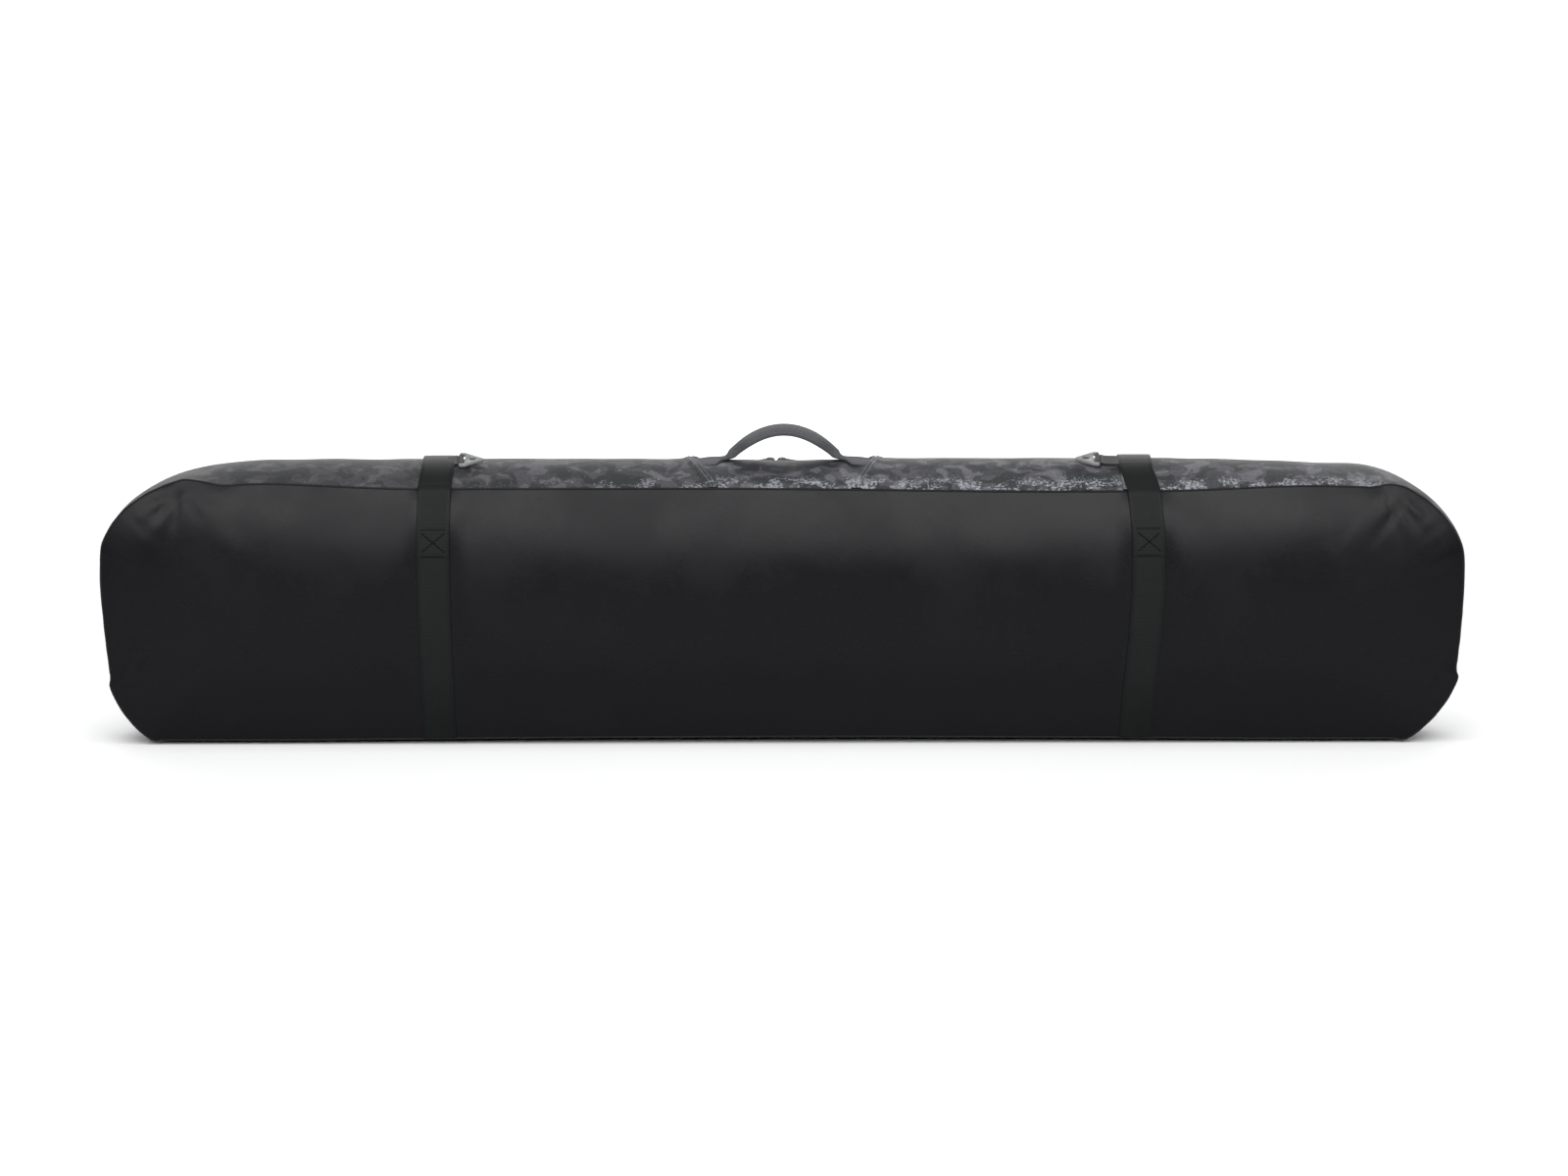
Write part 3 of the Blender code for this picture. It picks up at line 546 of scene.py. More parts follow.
def woven_look(name, colour, pitch, roughness, specular, axes=("X", "Z"), depth=0.00025):
    """Woven cloth with uneven threads, faint rub marks and a slow change of tone."""
    g = Graph(name, roughness, specular=specular)
    where = g.place()
    weave = g.weave(where, pitch, axes)
    slubs = g.noise(g.place(stretch=(1, 1, 12)), pitch * 7, 3.0, 0.6)
    slow = g.noise(where, 0.11, 4.0, 0.55)
    tone = g.mix(g.ramp(slow, 0.30, 0.72), scaled(colour, 0.90), scaled(colour, 1.10))
    tone = g.mix(g.ramp(slubs, 0.35, 0.75), scaled(colour, 0.72), tone)
    tone = g.mix(g.span(weave, 0.30, 0.0), tone, scaled(colour, 0.35))
    g.colour(tone)
    g.rough(g.span(g.ramp(slow, 0.35, 0.7), roughness - 0.06, roughness + 0.06))
    g.bump(g.math("ADD", weave, g.math("MULTIPLY", slubs, 0.9)), depth, 0.6)
    return g.look


def camouflage_look():
    """Coated grey cloth: blotches with slightly streaky edges, and painted glints near the seams:
    pale specks of painted highlight for the light the coated cloth reflects there.
    """
    g = Graph("camouflage_cloth", 0.50, specular=0.25)
    where = g.place()
    fray = g.noise(g.place(stretch=(1.0, 1.0, 0.35)), 0.0060, 3.0, 0.6)
    bent = g.node("VectorMath", operation="ADD")
    g.plug(g.place(stretch=(0.75, 1.0, 1.0)), bent.inputs[0])
    push = g.node("CombineXYZ")
    g.plug(g.span(fray, -0.0030, 0.0030), push.inputs["X"])
    g.plug(g.span(fray, -0.0022, 0.0022), push.inputs["Y"])
    g.plug(push.outputs[0], bent.inputs[1])
    big = g.noise(bent.outputs[0], 0.030, 1.0, 0.35, 0.6)
    mid = g.noise(g.shifted(bent.outputs[0], (3.1, 1.7, 0.4)), 0.021, 1.0, 0.35, 0.8)
    small = g.noise(g.shifted(bent.outputs[0], (7.3, 0.2, 2.4)), 0.013, 1.0, 0.4, 0.6)
    dark, cool, mauve, pale = CAMOUFLAGE
    tone = g.mix(g.ramp(big, 0.490, 0.502), cool, mauve)
    tone = g.mix(g.ramp(mid, 0.445, 0.434), tone, dark)
    tone = g.mix(g.math("MULTIPLY", g.ramp(mid, 0.580, 0.592), 0.8), tone, pale)
    tone = g.mix(g.math("MULTIPLY", g.ramp(small, 0.600, 0.612), 0.7), tone, dark)
    rub = g.noise(where, 0.14, 4.0, 0.6)
    tone = g.mix(g.span(g.ramp(rub, 0.3, 0.75), 0.0, 0.30), tone, scaled(mauve, 0.9))
    # The tone is darker towards the left end of the bag and a little lighter towards the right, by
    # X.
    darker_to_left = g.node("CombineXYZ")
    fade = g.span(g.ramp(g.axes(where)["X"], -0.70, 0.10), 0.60, 1.12)
    for channel in "XYZ":
        g.plug(fade, darker_to_left.inputs[channel])
    tone = g.mix(1.0, tone, darker_to_left.outputs[0], "MULTIPLY")
    yarn = g.noise(g.place(stretch=(0.4, 1.0, 1.0)), 0.0016, 3.0, 0.7)
    tone = g.mix(g.ramp(yarn, 0.36, 0.66), g.darker(tone, 0.62), tone)
    fleck = g.noise(g.place(stretch=(0.75, 1.0, 1.0)), 0.0024, 3.5, 0.75)
    patch = g.noise(g.place(stretch=(0.7, 1.0, 1.0)), 0.020, 2.0, 0.5)
    # Painted highlight: glint specks near the top seams stand in for light reflected by the coated
    # cloth.
    band = g.seam_glint_band()
    reach = g.math("MULTIPLY", g.ramp(patch, 0.36, 0.58), band)
    glint_specks = g.ramp(g.math("ADD", fleck, g.span(reach, -0.15, 0.045)), 0.49, 0.60)
    painted_glint = g.math("MULTIPLY", glint_specks, g.span(band, 0.10, 1.0))
    g.colour(g.mix(painted_glint, tone, GLINT_COLOUR))
    g.rough(g.span(painted_glint, 0.55, 0.34))
    grain = g.weave(where, 0.0011, ("X", "Y"))
    lift = g.math("ADD", g.math("MULTIPLY", grain, 0.5), g.math("MULTIPLY", fleck, 1.1))
    g.bump(g.math("ADD", lift, g.math("MULTIPLY", painted_glint, 0.6)), 0.00012, 0.6)
    return g.look


def webbing_look(name, colour):
    """Ribbed nylon webbing: fine cross ribs, a flat selvage along each edge with painted shade on
    it, light fuzz.
    """
    g = Graph(name, 0.40, specular=0.10)
    where = g.place(True)
    ribs = g.wave(where, 0.0016, "X")
    cords = g.wave(where, 0.0024, "Y")
    slow = g.noise(where, 0.05, 3.0, 0.6)
    fuzz = g.noise(where, 0.0012, 2.0, 0.7)
    tone = g.mix(g.ramp(slow, 0.3, 0.7), scaled(colour, 0.85), scaled(colour, 1.15))
    tone = g.mix(g.span(ribs, 0.32, 0.0), tone, scaled(colour, 0.45))
    # Painted shade: a band along each edge is darkened for the thin shadow lines at the webbing's
    # edges. The same band flattens the ribs into a selvage.
    edge = g.ramp(g.math("ABSOLUTE", g.axes(where)["Y"]), 0.0146, 0.0154)
    tone = g.mix(g.math("MULTIPLY", edge, 0.45), tone, scaled(colour, 0.55))
    g.colour(g.mix(g.math("MULTIPLY", g.ramp(fuzz, 0.6, 0.8), 0.25), tone, scaled(colour, 1.8)))
    height = g.math("ADD", g.math("MULTIPLY", ribs, g.span(edge, 1.0, 0.3)),
                    g.math("MULTIPLY", cords, 0.35))
    g.bump(g.math("ADD", height, g.math("MULTIPLY", fuzz, 0.3)), 0.00012, 0.7)
    return g.look


def handle_look():
    """Ribbed knit over foam: grooves run lengthwise, with heathered yarn between."""
    g = Graph("handle_knit", 0.75, specular=0.25, sheen=0.04)
    where = g.place(True)
    grooves = g.wave(where, 0.0026, "Y")
    yarn = g.noise(g.place(True, stretch=(1, 3.5, 1)), 0.0022, 3.0, 0.7)
    slow = g.noise(where, 0.05, 2.0, 0.5)
    base = (0.086, 0.088, 0.095)
    tone = g.mix(g.ramp(yarn, 0.35, 0.68), scaled(base, 0.55), scaled(base, 1.30))
    tone = g.mix(g.span(grooves, 0.62, 0.0), tone, scaled(base, 0.25))
    g.colour(g.mix(g.span(slow, 0.0, 0.3), tone, scaled(base, 0.6)))
    g.rough(g.span(yarn, 0.65, 0.85))
    g.bump(g.math("ADD", grooves, g.math("MULTIPLY", yarn, 0.6)), 0.0006, 0.8)
    return g.look


def plastic_look(name, colour, roughness):
    """Moulded plastic: a fine spark texture with rubbed, smoother marks."""
    g = Graph(name, roughness, specular=0.5)
    where = g.place()
    grain = g.noise(where, 0.0009, 3.0, 0.6)
    rub = g.noise(where, 0.012, 4.0, 0.65)
    g.colour(g.mix(g.ramp(rub, 0.45, 0.75), colour, scaled(colour, 1.5)))
    g.rough(g.span(g.ramp(rub, 0.4, 0.75), roughness, roughness - 0.12))
    g.bump(grain, 0.00012, 0.5)
    return g.look


def metal_look(name, colour):
    """Blackened die-cast metal, brighter where it rubs."""
    g = Graph(name, 0.34, metallic=0.85, specular=0.5)
    where = g.place()
    wear = g.noise(where, 0.004, 4.0, 0.7)
    pits = g.noise(where, 0.0006, 2.0, 0.6)
    g.colour(g.mix(g.ramp(wear, 0.50, 0.80), colour, scaled(colour, 1.5)))
    g.rough(g.span(wear, 0.42, 0.30))
    g.bump(pits, 0.00008, 0.5)
    return g.look


def thread_look(name, colour, shine):
    """Twisted sewing thread."""
    g = Graph(name, 0.7, specular=shine)
    where = g.place(turn=(0.5, 0.6, 0.4))
    twist = g.wave(where, 0.0005, "X")
    tone = g.noise(where, 0.006, 2.0, 0.5)
    g.colour(g.mix(g.ramp(tone, 0.3, 0.7), scaled(colour, 0.8), scaled(colour, 1.2)))
    g.bump(twist, 0.0001, 0.5)
    return g.look


def lining_look():
    """Smooth woven lining with a ripstop grid."""
    g = Graph("lining_cloth", 0.5, specular=0.35)
    where = g.place()
    colour = (0.075, 0.077, 0.084)
    grid = [g.ramp(g.wave(where, 0.006, axis), 0.93, 0.99) for axis in ("X", "Y", "Z")]
    lines = g.math("MAXIMUM", g.math("MAXIMUM", grid[0], grid[1]), grid[2])
    slow = g.noise(where, 0.06, 3.0, 0.6)
    tone = g.mix(g.ramp(slow, 0.3, 0.7), scaled(colour, 0.85), scaled(colour, 1.15))
    g.colour(g.mix(g.math("MULTIPLY", lines, 0.3), tone, scaled(colour, 1.6)))
    g.rough(g.span(slow, 0.42, 0.58))
    g.bump(g.math("ADD", g.weave(where, 0.0008), lines), 0.0002, 0.5)
    return g.look


def make_looks():
    black = (0.0032, 0.0031, 0.0044)
    return {
        "black": woven_look("black_polyester", black, 0.0011, 0.28, 0.115, depth=0.00004),
        "camo": camouflage_look(),
        "lining": lining_look(),
        "webbing": webbing_look("strap_webbing", (0.0034, 0.0040, 0.0041)),
        "tape": woven_look("seam_tape", (0.011, 0.011, 0.012), 0.0008, 0.70, 0.20, axes=("X", "Y")),
        "piping": woven_look("piping_cloth", (0.008, 0.008, 0.009), 0.0009, 0.70, 0.20,
                             depth=0.0003),
        "handle": handle_look(),
        "plastic": plastic_look("moulded_plastic", (0.016, 0.017, 0.018), 0.40),
        "teeth": plastic_look("zip_coil", (0.016, 0.016, 0.017), 0.42),
        "ring": plastic_look("ring_plastic", (0.120, 0.124, 0.122), 0.36),
        "tab": webbing_look("tab_webbing", (0.034, 0.034, 0.036)),
        "metal": metal_look("dark_metal", (0.075, 0.077, 0.082)),
        "thread": thread_look("black_thread", (0.0016, 0.0016, 0.0018), 0.10),
        "grey_thread": thread_look("grey_thread", (0.19, 0.19, 0.20), 0.3),
    }


# ---------------------------------------------------------------- threads
def stitch_bodies(parts, line, normals):
    """Stitches along a line of points, each a small arched thread that dips into the cloth."""
    along = distances(line)
    count = int((along[-1] - STITCH) / STITCH_STEP)
    if count < 1:
        return
    starts = np.arange(count) * STITCH_STEP + (along[-1] - count * STITCH_STEP) / 2

    def read(values, marks):
        return np.stack([np.interp(marks, along, values[:, k]) for k in range(3)], -1)

    shares, swells, lifts = (0.0, 0.25, 0.75, 1.0), (0.35, 1.0, 1.0, 0.35), (-0.5, 0.4, 0.4, -0.5)
    turns = full_turn(5)
    up = unit(read(normals, starts + STITCH / 2))
    ahead = unit(read(line, starts + STITCH) - read(line, starts))
    across = np.cross(ahead, up)
    rings = []
    for share, swelling, lift in zip(shares, swells, lifts):
        middle = read(line, starts + share * STITCH) + up * lift * THREAD
        ring = [middle + THREAD * swelling * (math.cos(t) * across + math.sin(t) * up)
                for t in turns]
        rings.append(np.stack(ring, 1))
    bodies = np.stack(rings, 1).reshape(count, -1, 3)
    faces = tube_faces(len(shares), len(turns))
    for body in bodies:
        parts.add(body, faces)


def gusset_stitches(parts, s, y, depth):
    """Stitches on the gusset along a line given by distances and Y."""
    line = skin(s, y, depth)
    out = unit(skin(s, y, depth - 0.001) - line)
    stitch_bodies(parts, line, out)


# ---------------------------------------------------------------- padded panels
def panel_sheet(rim, spacing):
    """A near-even lattice of triangles inside a rim, and how many of its points are on the rim."""
    x0, x1 = rim.line[:, 0].min(), rim.line[:, 0].max()
    z0, z1 = rim.line[:, 1].min(), rim.line[:, 1].max()
    rows = np.arange(z0, z1, spacing * 0.866)  # the height of an even triangle
    points = []
    for number, z in enumerate(rows):
        x = np.arange(x0, x1, spacing) + (number % 2) * spacing / 2
        points.append(np.stack(np.broadcast_arrays(x, z), -1))
    points = np.concatenate(points)
    away = 1 - 0.75 * spacing / 0.15
    points = points[rim.share(points[:, 0], points[:, 1]) < away]
    count = len(rim.line)
    every = [Vector(p) for p in np.concatenate((rim.line, points))]
    made = delaunay_2d_cdt(every, [], [list(range(count))], 1, 1e-6)
    flat = np.array([tuple(v) for v in made[0]])
    home = [min(ids) if ids else len(every) for ids in made[3]]
    return flat, [list(face) for face in made[2]], np.array(home) < count


def strap_weight(x, z):
    """1 under a strap, fading out beside it."""
    reach = 0.022
    total = 0.0
    for side, place in STRAPS.items():
        away = np.abs(x - place - bow(side, z))
        total = np.maximum(total, smooth((WEBBING / 2 + reach - away) / reach))
    return total


def simulate(points, faces, pinned, soft):
    """Blows the cloth out from inside while its rim is held, and returns where its points go."""
    mesh = bpy.data.meshes.new("drape")
    mesh.from_pydata(points.tolist(), [], faces)
    cloth = link("drape", mesh)
    for group, weights in (("pin", pinned), ("full", soft)):
        made = cloth.vertex_groups.new(name=group)
        for number, weight in enumerate(weights):
            if weight > 0:
                made.add([number], float(weight), "REPLACE")
    change = cloth.modifiers.new("cloth", "CLOTH")
    settings = change.settings
    settings.quality = 4
    settings.mass = 0.3
    settings.tension_stiffness = settings.compression_stiffness = 25
    settings.shear_stiffness = 15
    settings.bending_stiffness = 1.5
    settings.vertex_group_mass = "pin"
    settings.use_pressure = True
    settings.uniform_pressure_force = 1.6
    settings.vertex_group_shrink = "full"
    settings.shrink_min, settings.shrink_max = 0.0, -0.035
    settings.effector_weights.gravity = 0
    change.collision_settings.use_collision = False
    change.point_cache.frame_start, change.point_cache.frame_end = 1, DRAPE_FRAMES
    scene = bpy.context.scene
    for step in range(1, DRAPE_FRAMES + 1):
        scene.frame_set(step)
    shape = cloth.evaluated_get(bpy.context.evaluated_depsgraph_get()).data
    found = np.empty(len(points) * 3, np.float32)
    shape.vertices.foreach_get("co", found)
    bpy.data.objects.remove(cloth)
    scene.frame_set(1)
    return found.reshape(-1, 3).astype(float)


def corner_weights(x, z, rim):
    """How much spare cloth is gathered: most at the puckers, and a little round each end."""
    share = rim.share(x, z)
    near_rim = smooth((share - 0.55) / 0.35)
    total = 0.25 * smooth((np.abs(x) - 0.60) / 0.10) * near_rim
    for place, _ in PUCKERS:
        gap = np.hypot(x - place, z - (HEIGHT - 0.032))
        total = np.maximum(total, smooth((0.085 - gap) / 0.060))
    for place, low in LOW_PUCKERS:
        total = np.maximum(total, 0.8 * smooth((0.060 - np.hypot(x - place, z - low)) / 0.045))
    return total


def folds(x, z, centre, headings, reach, depth):
    """Creases that fan out from a pucker: each is a valley beside a ridge, fading with distance."""
    dx, dz = x - centre[0], z - centre[1]
    away = np.hypot(dx, dz)
    fade = np.exp(-(away / reach) ** 2) * smooth(away / 0.006)
    total = 0.0
    for heading in headings:
        turn = math.radians(heading)
        off = -dx * math.sin(turn) + dz * math.cos(turn)
        ahead = dx * math.cos(turn) + dz * math.sin(turn)
        width = 0.0030 + 0.10 * np.clip(ahead, 0, None)
        t = off / width
        total = total + (ahead > 0) * t * np.exp(-t * t) * smooth(ahead / 0.010)
    return depth * fade * total


def crease_field(x, z):
    """All the given creases of a panel, as a push outwards."""
    (left, _), (right, _) = PUCKERS
    total = folds(x, z, (right, HEIGHT - 0.030), (-22, -48, -75), 0.040, 0.0046)
    total = total + folds(x, z, (left, HEIGHT - 0.026), (-155, -128, -100), 0.040, 0.0040)
    for place, low in LOW_PUCKERS:
        way = math.copysign(1, place)
        headings = (110, 140) if way > 0 else (70, 40)
        total = total + folds(x, z, (place, low), headings, 0.035, 0.0036)
    return total


def make_panel(name, side, rim, looks, nodes):
    """The padded outer cloth of a panel: simulated, then given its creases and a thickness."""
    flat, faces, on_rim = panel_sheet(rim, LATTICE)
    x, z = flat.T
    y = side * panel_face(x, z, side)
    rest = np.stack((x, y, z), -1)
    if side > 0:
        faces = [face[::-1] for face in faces]
    moved = rest.copy()
    moved = simulate(rest, faces, on_rim.astype(float), corner_weights(x, z, rim))
    push = moved - rest
    size = np.linalg.norm(push, axis=1, keepdims=True)
    push *= np.minimum(1.0, CAP / np.maximum(size, 1e-9))
    free = ((1 - strap_weight(x, z)) * smooth((1 - rim.share(x, z)) / 0.05))[:, None]
    push *= free
    push[:, 1] += side * free[:, 0] * (crease_field(x, z) + 0.0005 * wavy(rest, 0.07, 3.0 * side))
    outer = rest + push
    inner = outer - np.array((0, side * CLOTH, 0))
    piece = thick_sheet(name, outer, inner, faces, looks["black"])
    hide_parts(*nodes)
    return piece


def thick_sheet(name, outer, inner, faces, look):
    """Two copies of a sheet of triangles, joined along its open edges."""
    edges = {}
    for face in faces:
        for a, b in zip(face, face[1:] + face[:1]):
            key = (min(a, b), max(a, b))
            edges[key] = None if key in edges else (a, b)
    count = len(outer)
    walls = [(a, b, b + count, a + count) for a, b in filter(None, edges.values())]
    under = [[corner + count for corner in face[::-1]] for face in faces]
    points = np.concatenate((outer, inner))
    return add_piece(name, points, faces + under + walls, look, crease=60)


def make_panel_lining(name, side, floor, looks, nodes):
    """Foam under a lining that is quilted in upright channels."""
    rim = Rim(0.0050, floor, side < 0, 0.010)
    flat, faces, _ = panel_sheet(rim, 0.010)
    x, z = flat.T
    face_y = panel_face(x, z, side)
    share = rim.share(x, z)
    channel = np.abs((x / 0.12 + 0.5) % 1 - 0.5) * 0.12
    quilt = 0.0022 * np.exp(-(channel / 0.008) ** 2) + 0.0030 * smooth((share - 0.955) / 0.045)
    clear = 0.0042 * smooth((1 - share) / 0.10)  # room for the creases of the outer cloth
    outer = np.stack((x, side * (face_y - PAD_OUTER - clear), z), -1)
    inner = np.stack((x, side * (face_y - PAD_INNER - 0.0030 + quilt), z), -1)
    piece = thick_sheet(name, outer, inner, faces, looks["lining"])
    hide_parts(*nodes)
    return piece


# ---------------------------------------------------------------- gusset
def middle_seam(which):
    place, swing = TOP_SEAMS[which], CURVE[which - 1]
    return lambda y: OUTLINE.top(place + swing * (np.abs(y) / SEAM_Y) ** 1.5)


def outer_seam(which):
    """The seams under the straps, which also swing a little towards the ends at the panel."""
    place = TOP_SEAMS[which]
    swing = -0.004 if place < 0 else 0.006
    start = place - 0.003 * np.sign(place)
    return lambda y: OUTLINE.top(start + swing * (np.abs(y) / SEAM_Y) ** 1.5)


def foot_cover(y, away):
    """The side panels climb over the handle's feet, and settle again behind them."""
    return 0.0010 * smooth((0.040 - np.abs(y + 0.002)) / 0.012) * (1 - smooth(away / 0.034))


def centre_sag(x, y):
    """The top hangs a little between the handle's feet, and dips where the feet press on it."""
    across = np.abs(x - HANDLE_X)
    hang = 0.0026 * smooth((0.100 - across) / 0.045) * smooth((SEAM_Y - 0.008 - np.abs(y)) / 0.020)
    return hang * (0.75 + 0.25 * np.cos(across / 0.016))


def side_hem(away):
    """A turned edge: twice the cloth for the width of the hem."""
    return 0.0013 * (1 - smooth((away - 0.009) / 0.004))


def gather(points, s):
    """Small puckers beside the panel seam, strongest near the gathered corners."""
    x, y = points[..., 0], points[..., 1]
    near = smooth((np.abs(y) - 0.040) / 0.020)
    ends = 0.25 + 0.9 * np.exp(-((np.abs(x) - 0.70) / 0.06) ** 2)
    return 0.0007 * near * ends * np.sin(s / 0.0062 + 2.2 * wavy(points, 0.03, 5.0))


class GussetPanel:
    """A length of the gusset between two seams, which say how far along they are at each Y.

    A hem is a turned and stitched edge, and feet says which edges lie over the handle's feet."""

    def __init__(self, name, start, stop, hems=(False, False), feet=(False, False)):
        self.name, self.start, self.stop, self.hems, self.feet = name, start, stop, hems, feet

    def relief(self, s, y):
        """How far the outer face stands above the plain surface."""
        total = np.zeros(np.broadcast(s, y).shape)
        for edge, hem, foot in ((self.start(y), self.hems[0], self.feet[0]),
                                (self.stop(y), self.hems[1], self.feet[1])):
            away = np.abs(s - edge)
            total = total + (side_hem(away) if hem else 0.0)
            total = total + (foot_cover(y, away) if foot else 0.0)
        return total

    def build(self, ys, looks, slot, nodes):
        y = np.asarray(ys)
        a, b = self.start(y) + GAP / 2, self.stop(y) - GAP / 2
        count = max(4, round(float(np.mean(b - a)) / 0.005))
        share = self.spread(count)[:, None]
        s = a[None, :] * (1 - share) + b[None, :] * share
        yy = np.broadcast_to(y, s.shape)
        base = skin(s, yy, 0.0)
        soft = 0.0009 * wavy(base, 0.055, 1.0) + gather(base, s)
        lift = self.relief(s, yy) + soft * smooth((SEAM_Y - SEAM_EDGE - np.abs(yy)) / 0.004)
        if self.name.endswith("centre"):
            lift = lift - centre_sag(base[..., 0], yy)
        outer, inner = skin(s, yy, -lift), skin(s, yy, CLOTH - lift)
        piece = slab(self.name, outer, inner, looks["camo"], np.stack((s, yy), -1))
        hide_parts(*nodes)
        return piece

    def spread(self, count):
        """Rows crowd towards a hemmed edge, so that the step there is crisp."""
        t = np.linspace(0, 1, count + 1)
        near = [0.0005, 0.002, 0.004, 0.006, 0.008, 0.010, 0.012, 0.014]
        length = float(self.stop(0.0) - self.start(0.0))
        extra = [k / length for k in near] if self.hems[0] else []
        extra += [1 - k / length for k in near] if self.hems[1] else []
        return np.array(sorted({*t.tolist(), *extra}))

    def topstitch(self, parts, ys, offsets=(0.0020, 0.0068)):
        y = np.linspace(ys[0] + 0.002, ys[-1] - 0.002, 60)
        for edge, hem, way in ((self.start, self.hems[0], 1), (self.stop, self.hems[1], -1)):
            for offset in offsets if hem else ():
                s = edge(y) + way * offset
                gusset_stitches(parts, s, y, -self.relief(s, y) - 0.0001)


def constant(value):
    return lambda y: value + 0 * np.asarray(y, float)


GUSSET_YS = np.concatenate((np.linspace(-SEAM_Y + SEAM_EDGE - 0.0010, -0.044, 7),
                            np.linspace(-0.040, 0.024, 17), [TUB_EDGE]))
GUSSET = {
    "left": GussetPanel("gusset_cloth_left", constant(0.0), outer_seam(0), hems=(False, True)),
    "top_left": GussetPanel("gusset_cloth_top_left", outer_seam(0), middle_seam(1),
                            hems=(False, True), feet=(False, True)),
    "top_centre": GussetPanel("gusset_cloth_top_centre", middle_seam(1), middle_seam(2)),
    "top_right": GussetPanel("gusset_cloth_top_right", middle_seam(2), outer_seam(3),
                             hems=(True, False), feet=(True, False)),
    "right": GussetPanel("gusset_cloth_right", outer_seam(3), constant(BASE_START),
                         hems=(True, False)),
}


def make_gusset(looks):
    threads = Parts()
    for key, panel in GUSSET.items():
        piece = panel.build(GUSSET_YS, looks, "grey_cloth", [f"gusset_{key}_shell"])
        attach(piece, "tub")
        panel.topstitch(threads, GUSSET_YS)
    run = np.linspace(0.01, BASE_START - 0.01, 900)
    gusset_stitches(threads, run, np.full_like(run, TUB_EDGE - 0.0025), -0.0002)
    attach(threads.piece("gusset_topstitch", looks["grey_thread"], "grey_cloth"), "tub")
    make_gusset_lining(looks)
    make_base(looks)


def make_gusset_lining(looks):
    """Foam and lining of the gusset and of the base, in one piece each."""
    for name, start, stop, edge, nodes in (
            ("gusset_lining_cloth", 0.0002, BASE_START - 0.0002, TUB_EDGE,
             ("gusset_foam", "gusset_lining")),
            ("base_lining_cloth", BASE_START + 0.0002, OUTLINE.length - 0.0002, 0.053,
             ("base_foam", "base_lining"))):
        ys = np.linspace(-0.0545, edge, 12)
        s = np.linspace(start, stop, round((stop - start) / 0.012))[:, None] + 0 * ys[None, :]
        yy = np.broadcast_to(ys, s.shape)
        away = np.minimum(yy - ys[0], ys[-1] - yy)
        plump = 0.0012 * smooth(away / 0.010) * (1 + 0.5 * wavy(skin(s, yy, 0.0), 0.05, 9.0))
        sag = centre_sag(skin(s, yy, 0.0)[..., 0], yy) * (OUTLINE.at(s)[1] > MID_HEIGHT)
        outer, inner = skin(s, yy, PAD_OUTER + sag), skin(s, yy, PAD_INNER - 0.0010 + plump + sag)
        piece = slab(name, outer, inner, looks["lining"], np.stack((s, yy), -1))
        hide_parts(*nodes)
        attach(piece, "tub")


def make_base(looks):
    """The black cloth under the bag, a little uneven where it carries no seam."""
    edge = SEAM_Y - SEAM_EDGE + 0.0010
    ys = np.concatenate((np.linspace(-edge, -0.030, 8), np.linspace(-0.024, 0.024, 8),
                         np.linspace(0.030, edge, 8)))
    s = np.linspace(BASE_START + GAP / 2, OUTLINE.length - GAP / 2, 290)[:, None] + 0 * ys[None, :]
    yy = np.broadcast_to(ys, s.shape)
    base = skin(s, yy, 0.0)
    lift = -0.0005 * (1 + wavy(base, 0.06, 4.0)) * smooth((edge - np.abs(yy)) / 0.012)
    piece = slab("base_cloth", skin(s, yy, -lift), skin(s, yy, CLOTH - lift), looks["black"],
                 np.stack((s, yy), -1))
    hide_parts("base_shell")
    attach(piece, "tub")


def make_lid_gusset(looks):
    """The lid's narrow strip beside the zip, and its row of stitches."""
    ys = np.concatenate((np.linspace(LID_EDGE, 0.056, 5),
                         np.linspace(0.0575, SEAM_Y - SEAM_EDGE + 0.001, 3)))
    panel = GussetPanel("lid_gusset_cloth", constant(LID_START), constant(LID_STOP))
    piece = panel.build(ys, looks, "grey_cloth", ["lid_gusset_shell"])
    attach(piece, "lid")
    threads = Parts()
    run = np.linspace(LID_START + 0.01, LID_STOP - 0.01, 900)
    gusset_stitches(threads, run, np.full_like(run, LID_EDGE + 0.0025), -0.0002)
    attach(threads.piece("lid_topstitch", looks["grey_thread"], "grey_cloth"), "lid")


def make_piping(looks):
    """Thin folded piping in the panel seams, slightly gathered."""
    for name, side, start, stop, body in (("back_seam_piping", -1, 0.0, OUTLINE.length, "tub"),
                                          ("lid_seam_piping", 1, LID_START, LID_STOP, "lid")):
        closed = side < 0
        run = np.linspace(start, stop, round((stop - start) / 0.0022), endpoint=not closed)
        x, z, nx, nz = OUTLINE.at(run)
        inset = seam_inset(x, nz, side < 0) + 0.0006
        y = np.full_like(x, side * (SEAM_Y - 0.0008))
        middle = np.stack((x - nx * inset, y, z - nz * inset), -1)
        radius = 0.0012 * (1 + 0.10 * np.sin(run / 0.00085) + 0.10 * np.sin(run / 0.0041))
        out = np.stack((nx, 0 * nx, nz), -1)
        turns = full_turn(8)
        rings = [middle + radius[:, None] * (math.cos(t) * out + math.sin(t) * np.array((0, 1, 0)))
                 for t in turns]
        points = np.stack(rings, 1)
        piece = add_piece(name, points.reshape(-1, 3), tube_faces(len(run), len(turns), closed),
                          looks["piping"])
        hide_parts("back_piping" if side < 0 else "lid_piping")
        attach(piece, body)


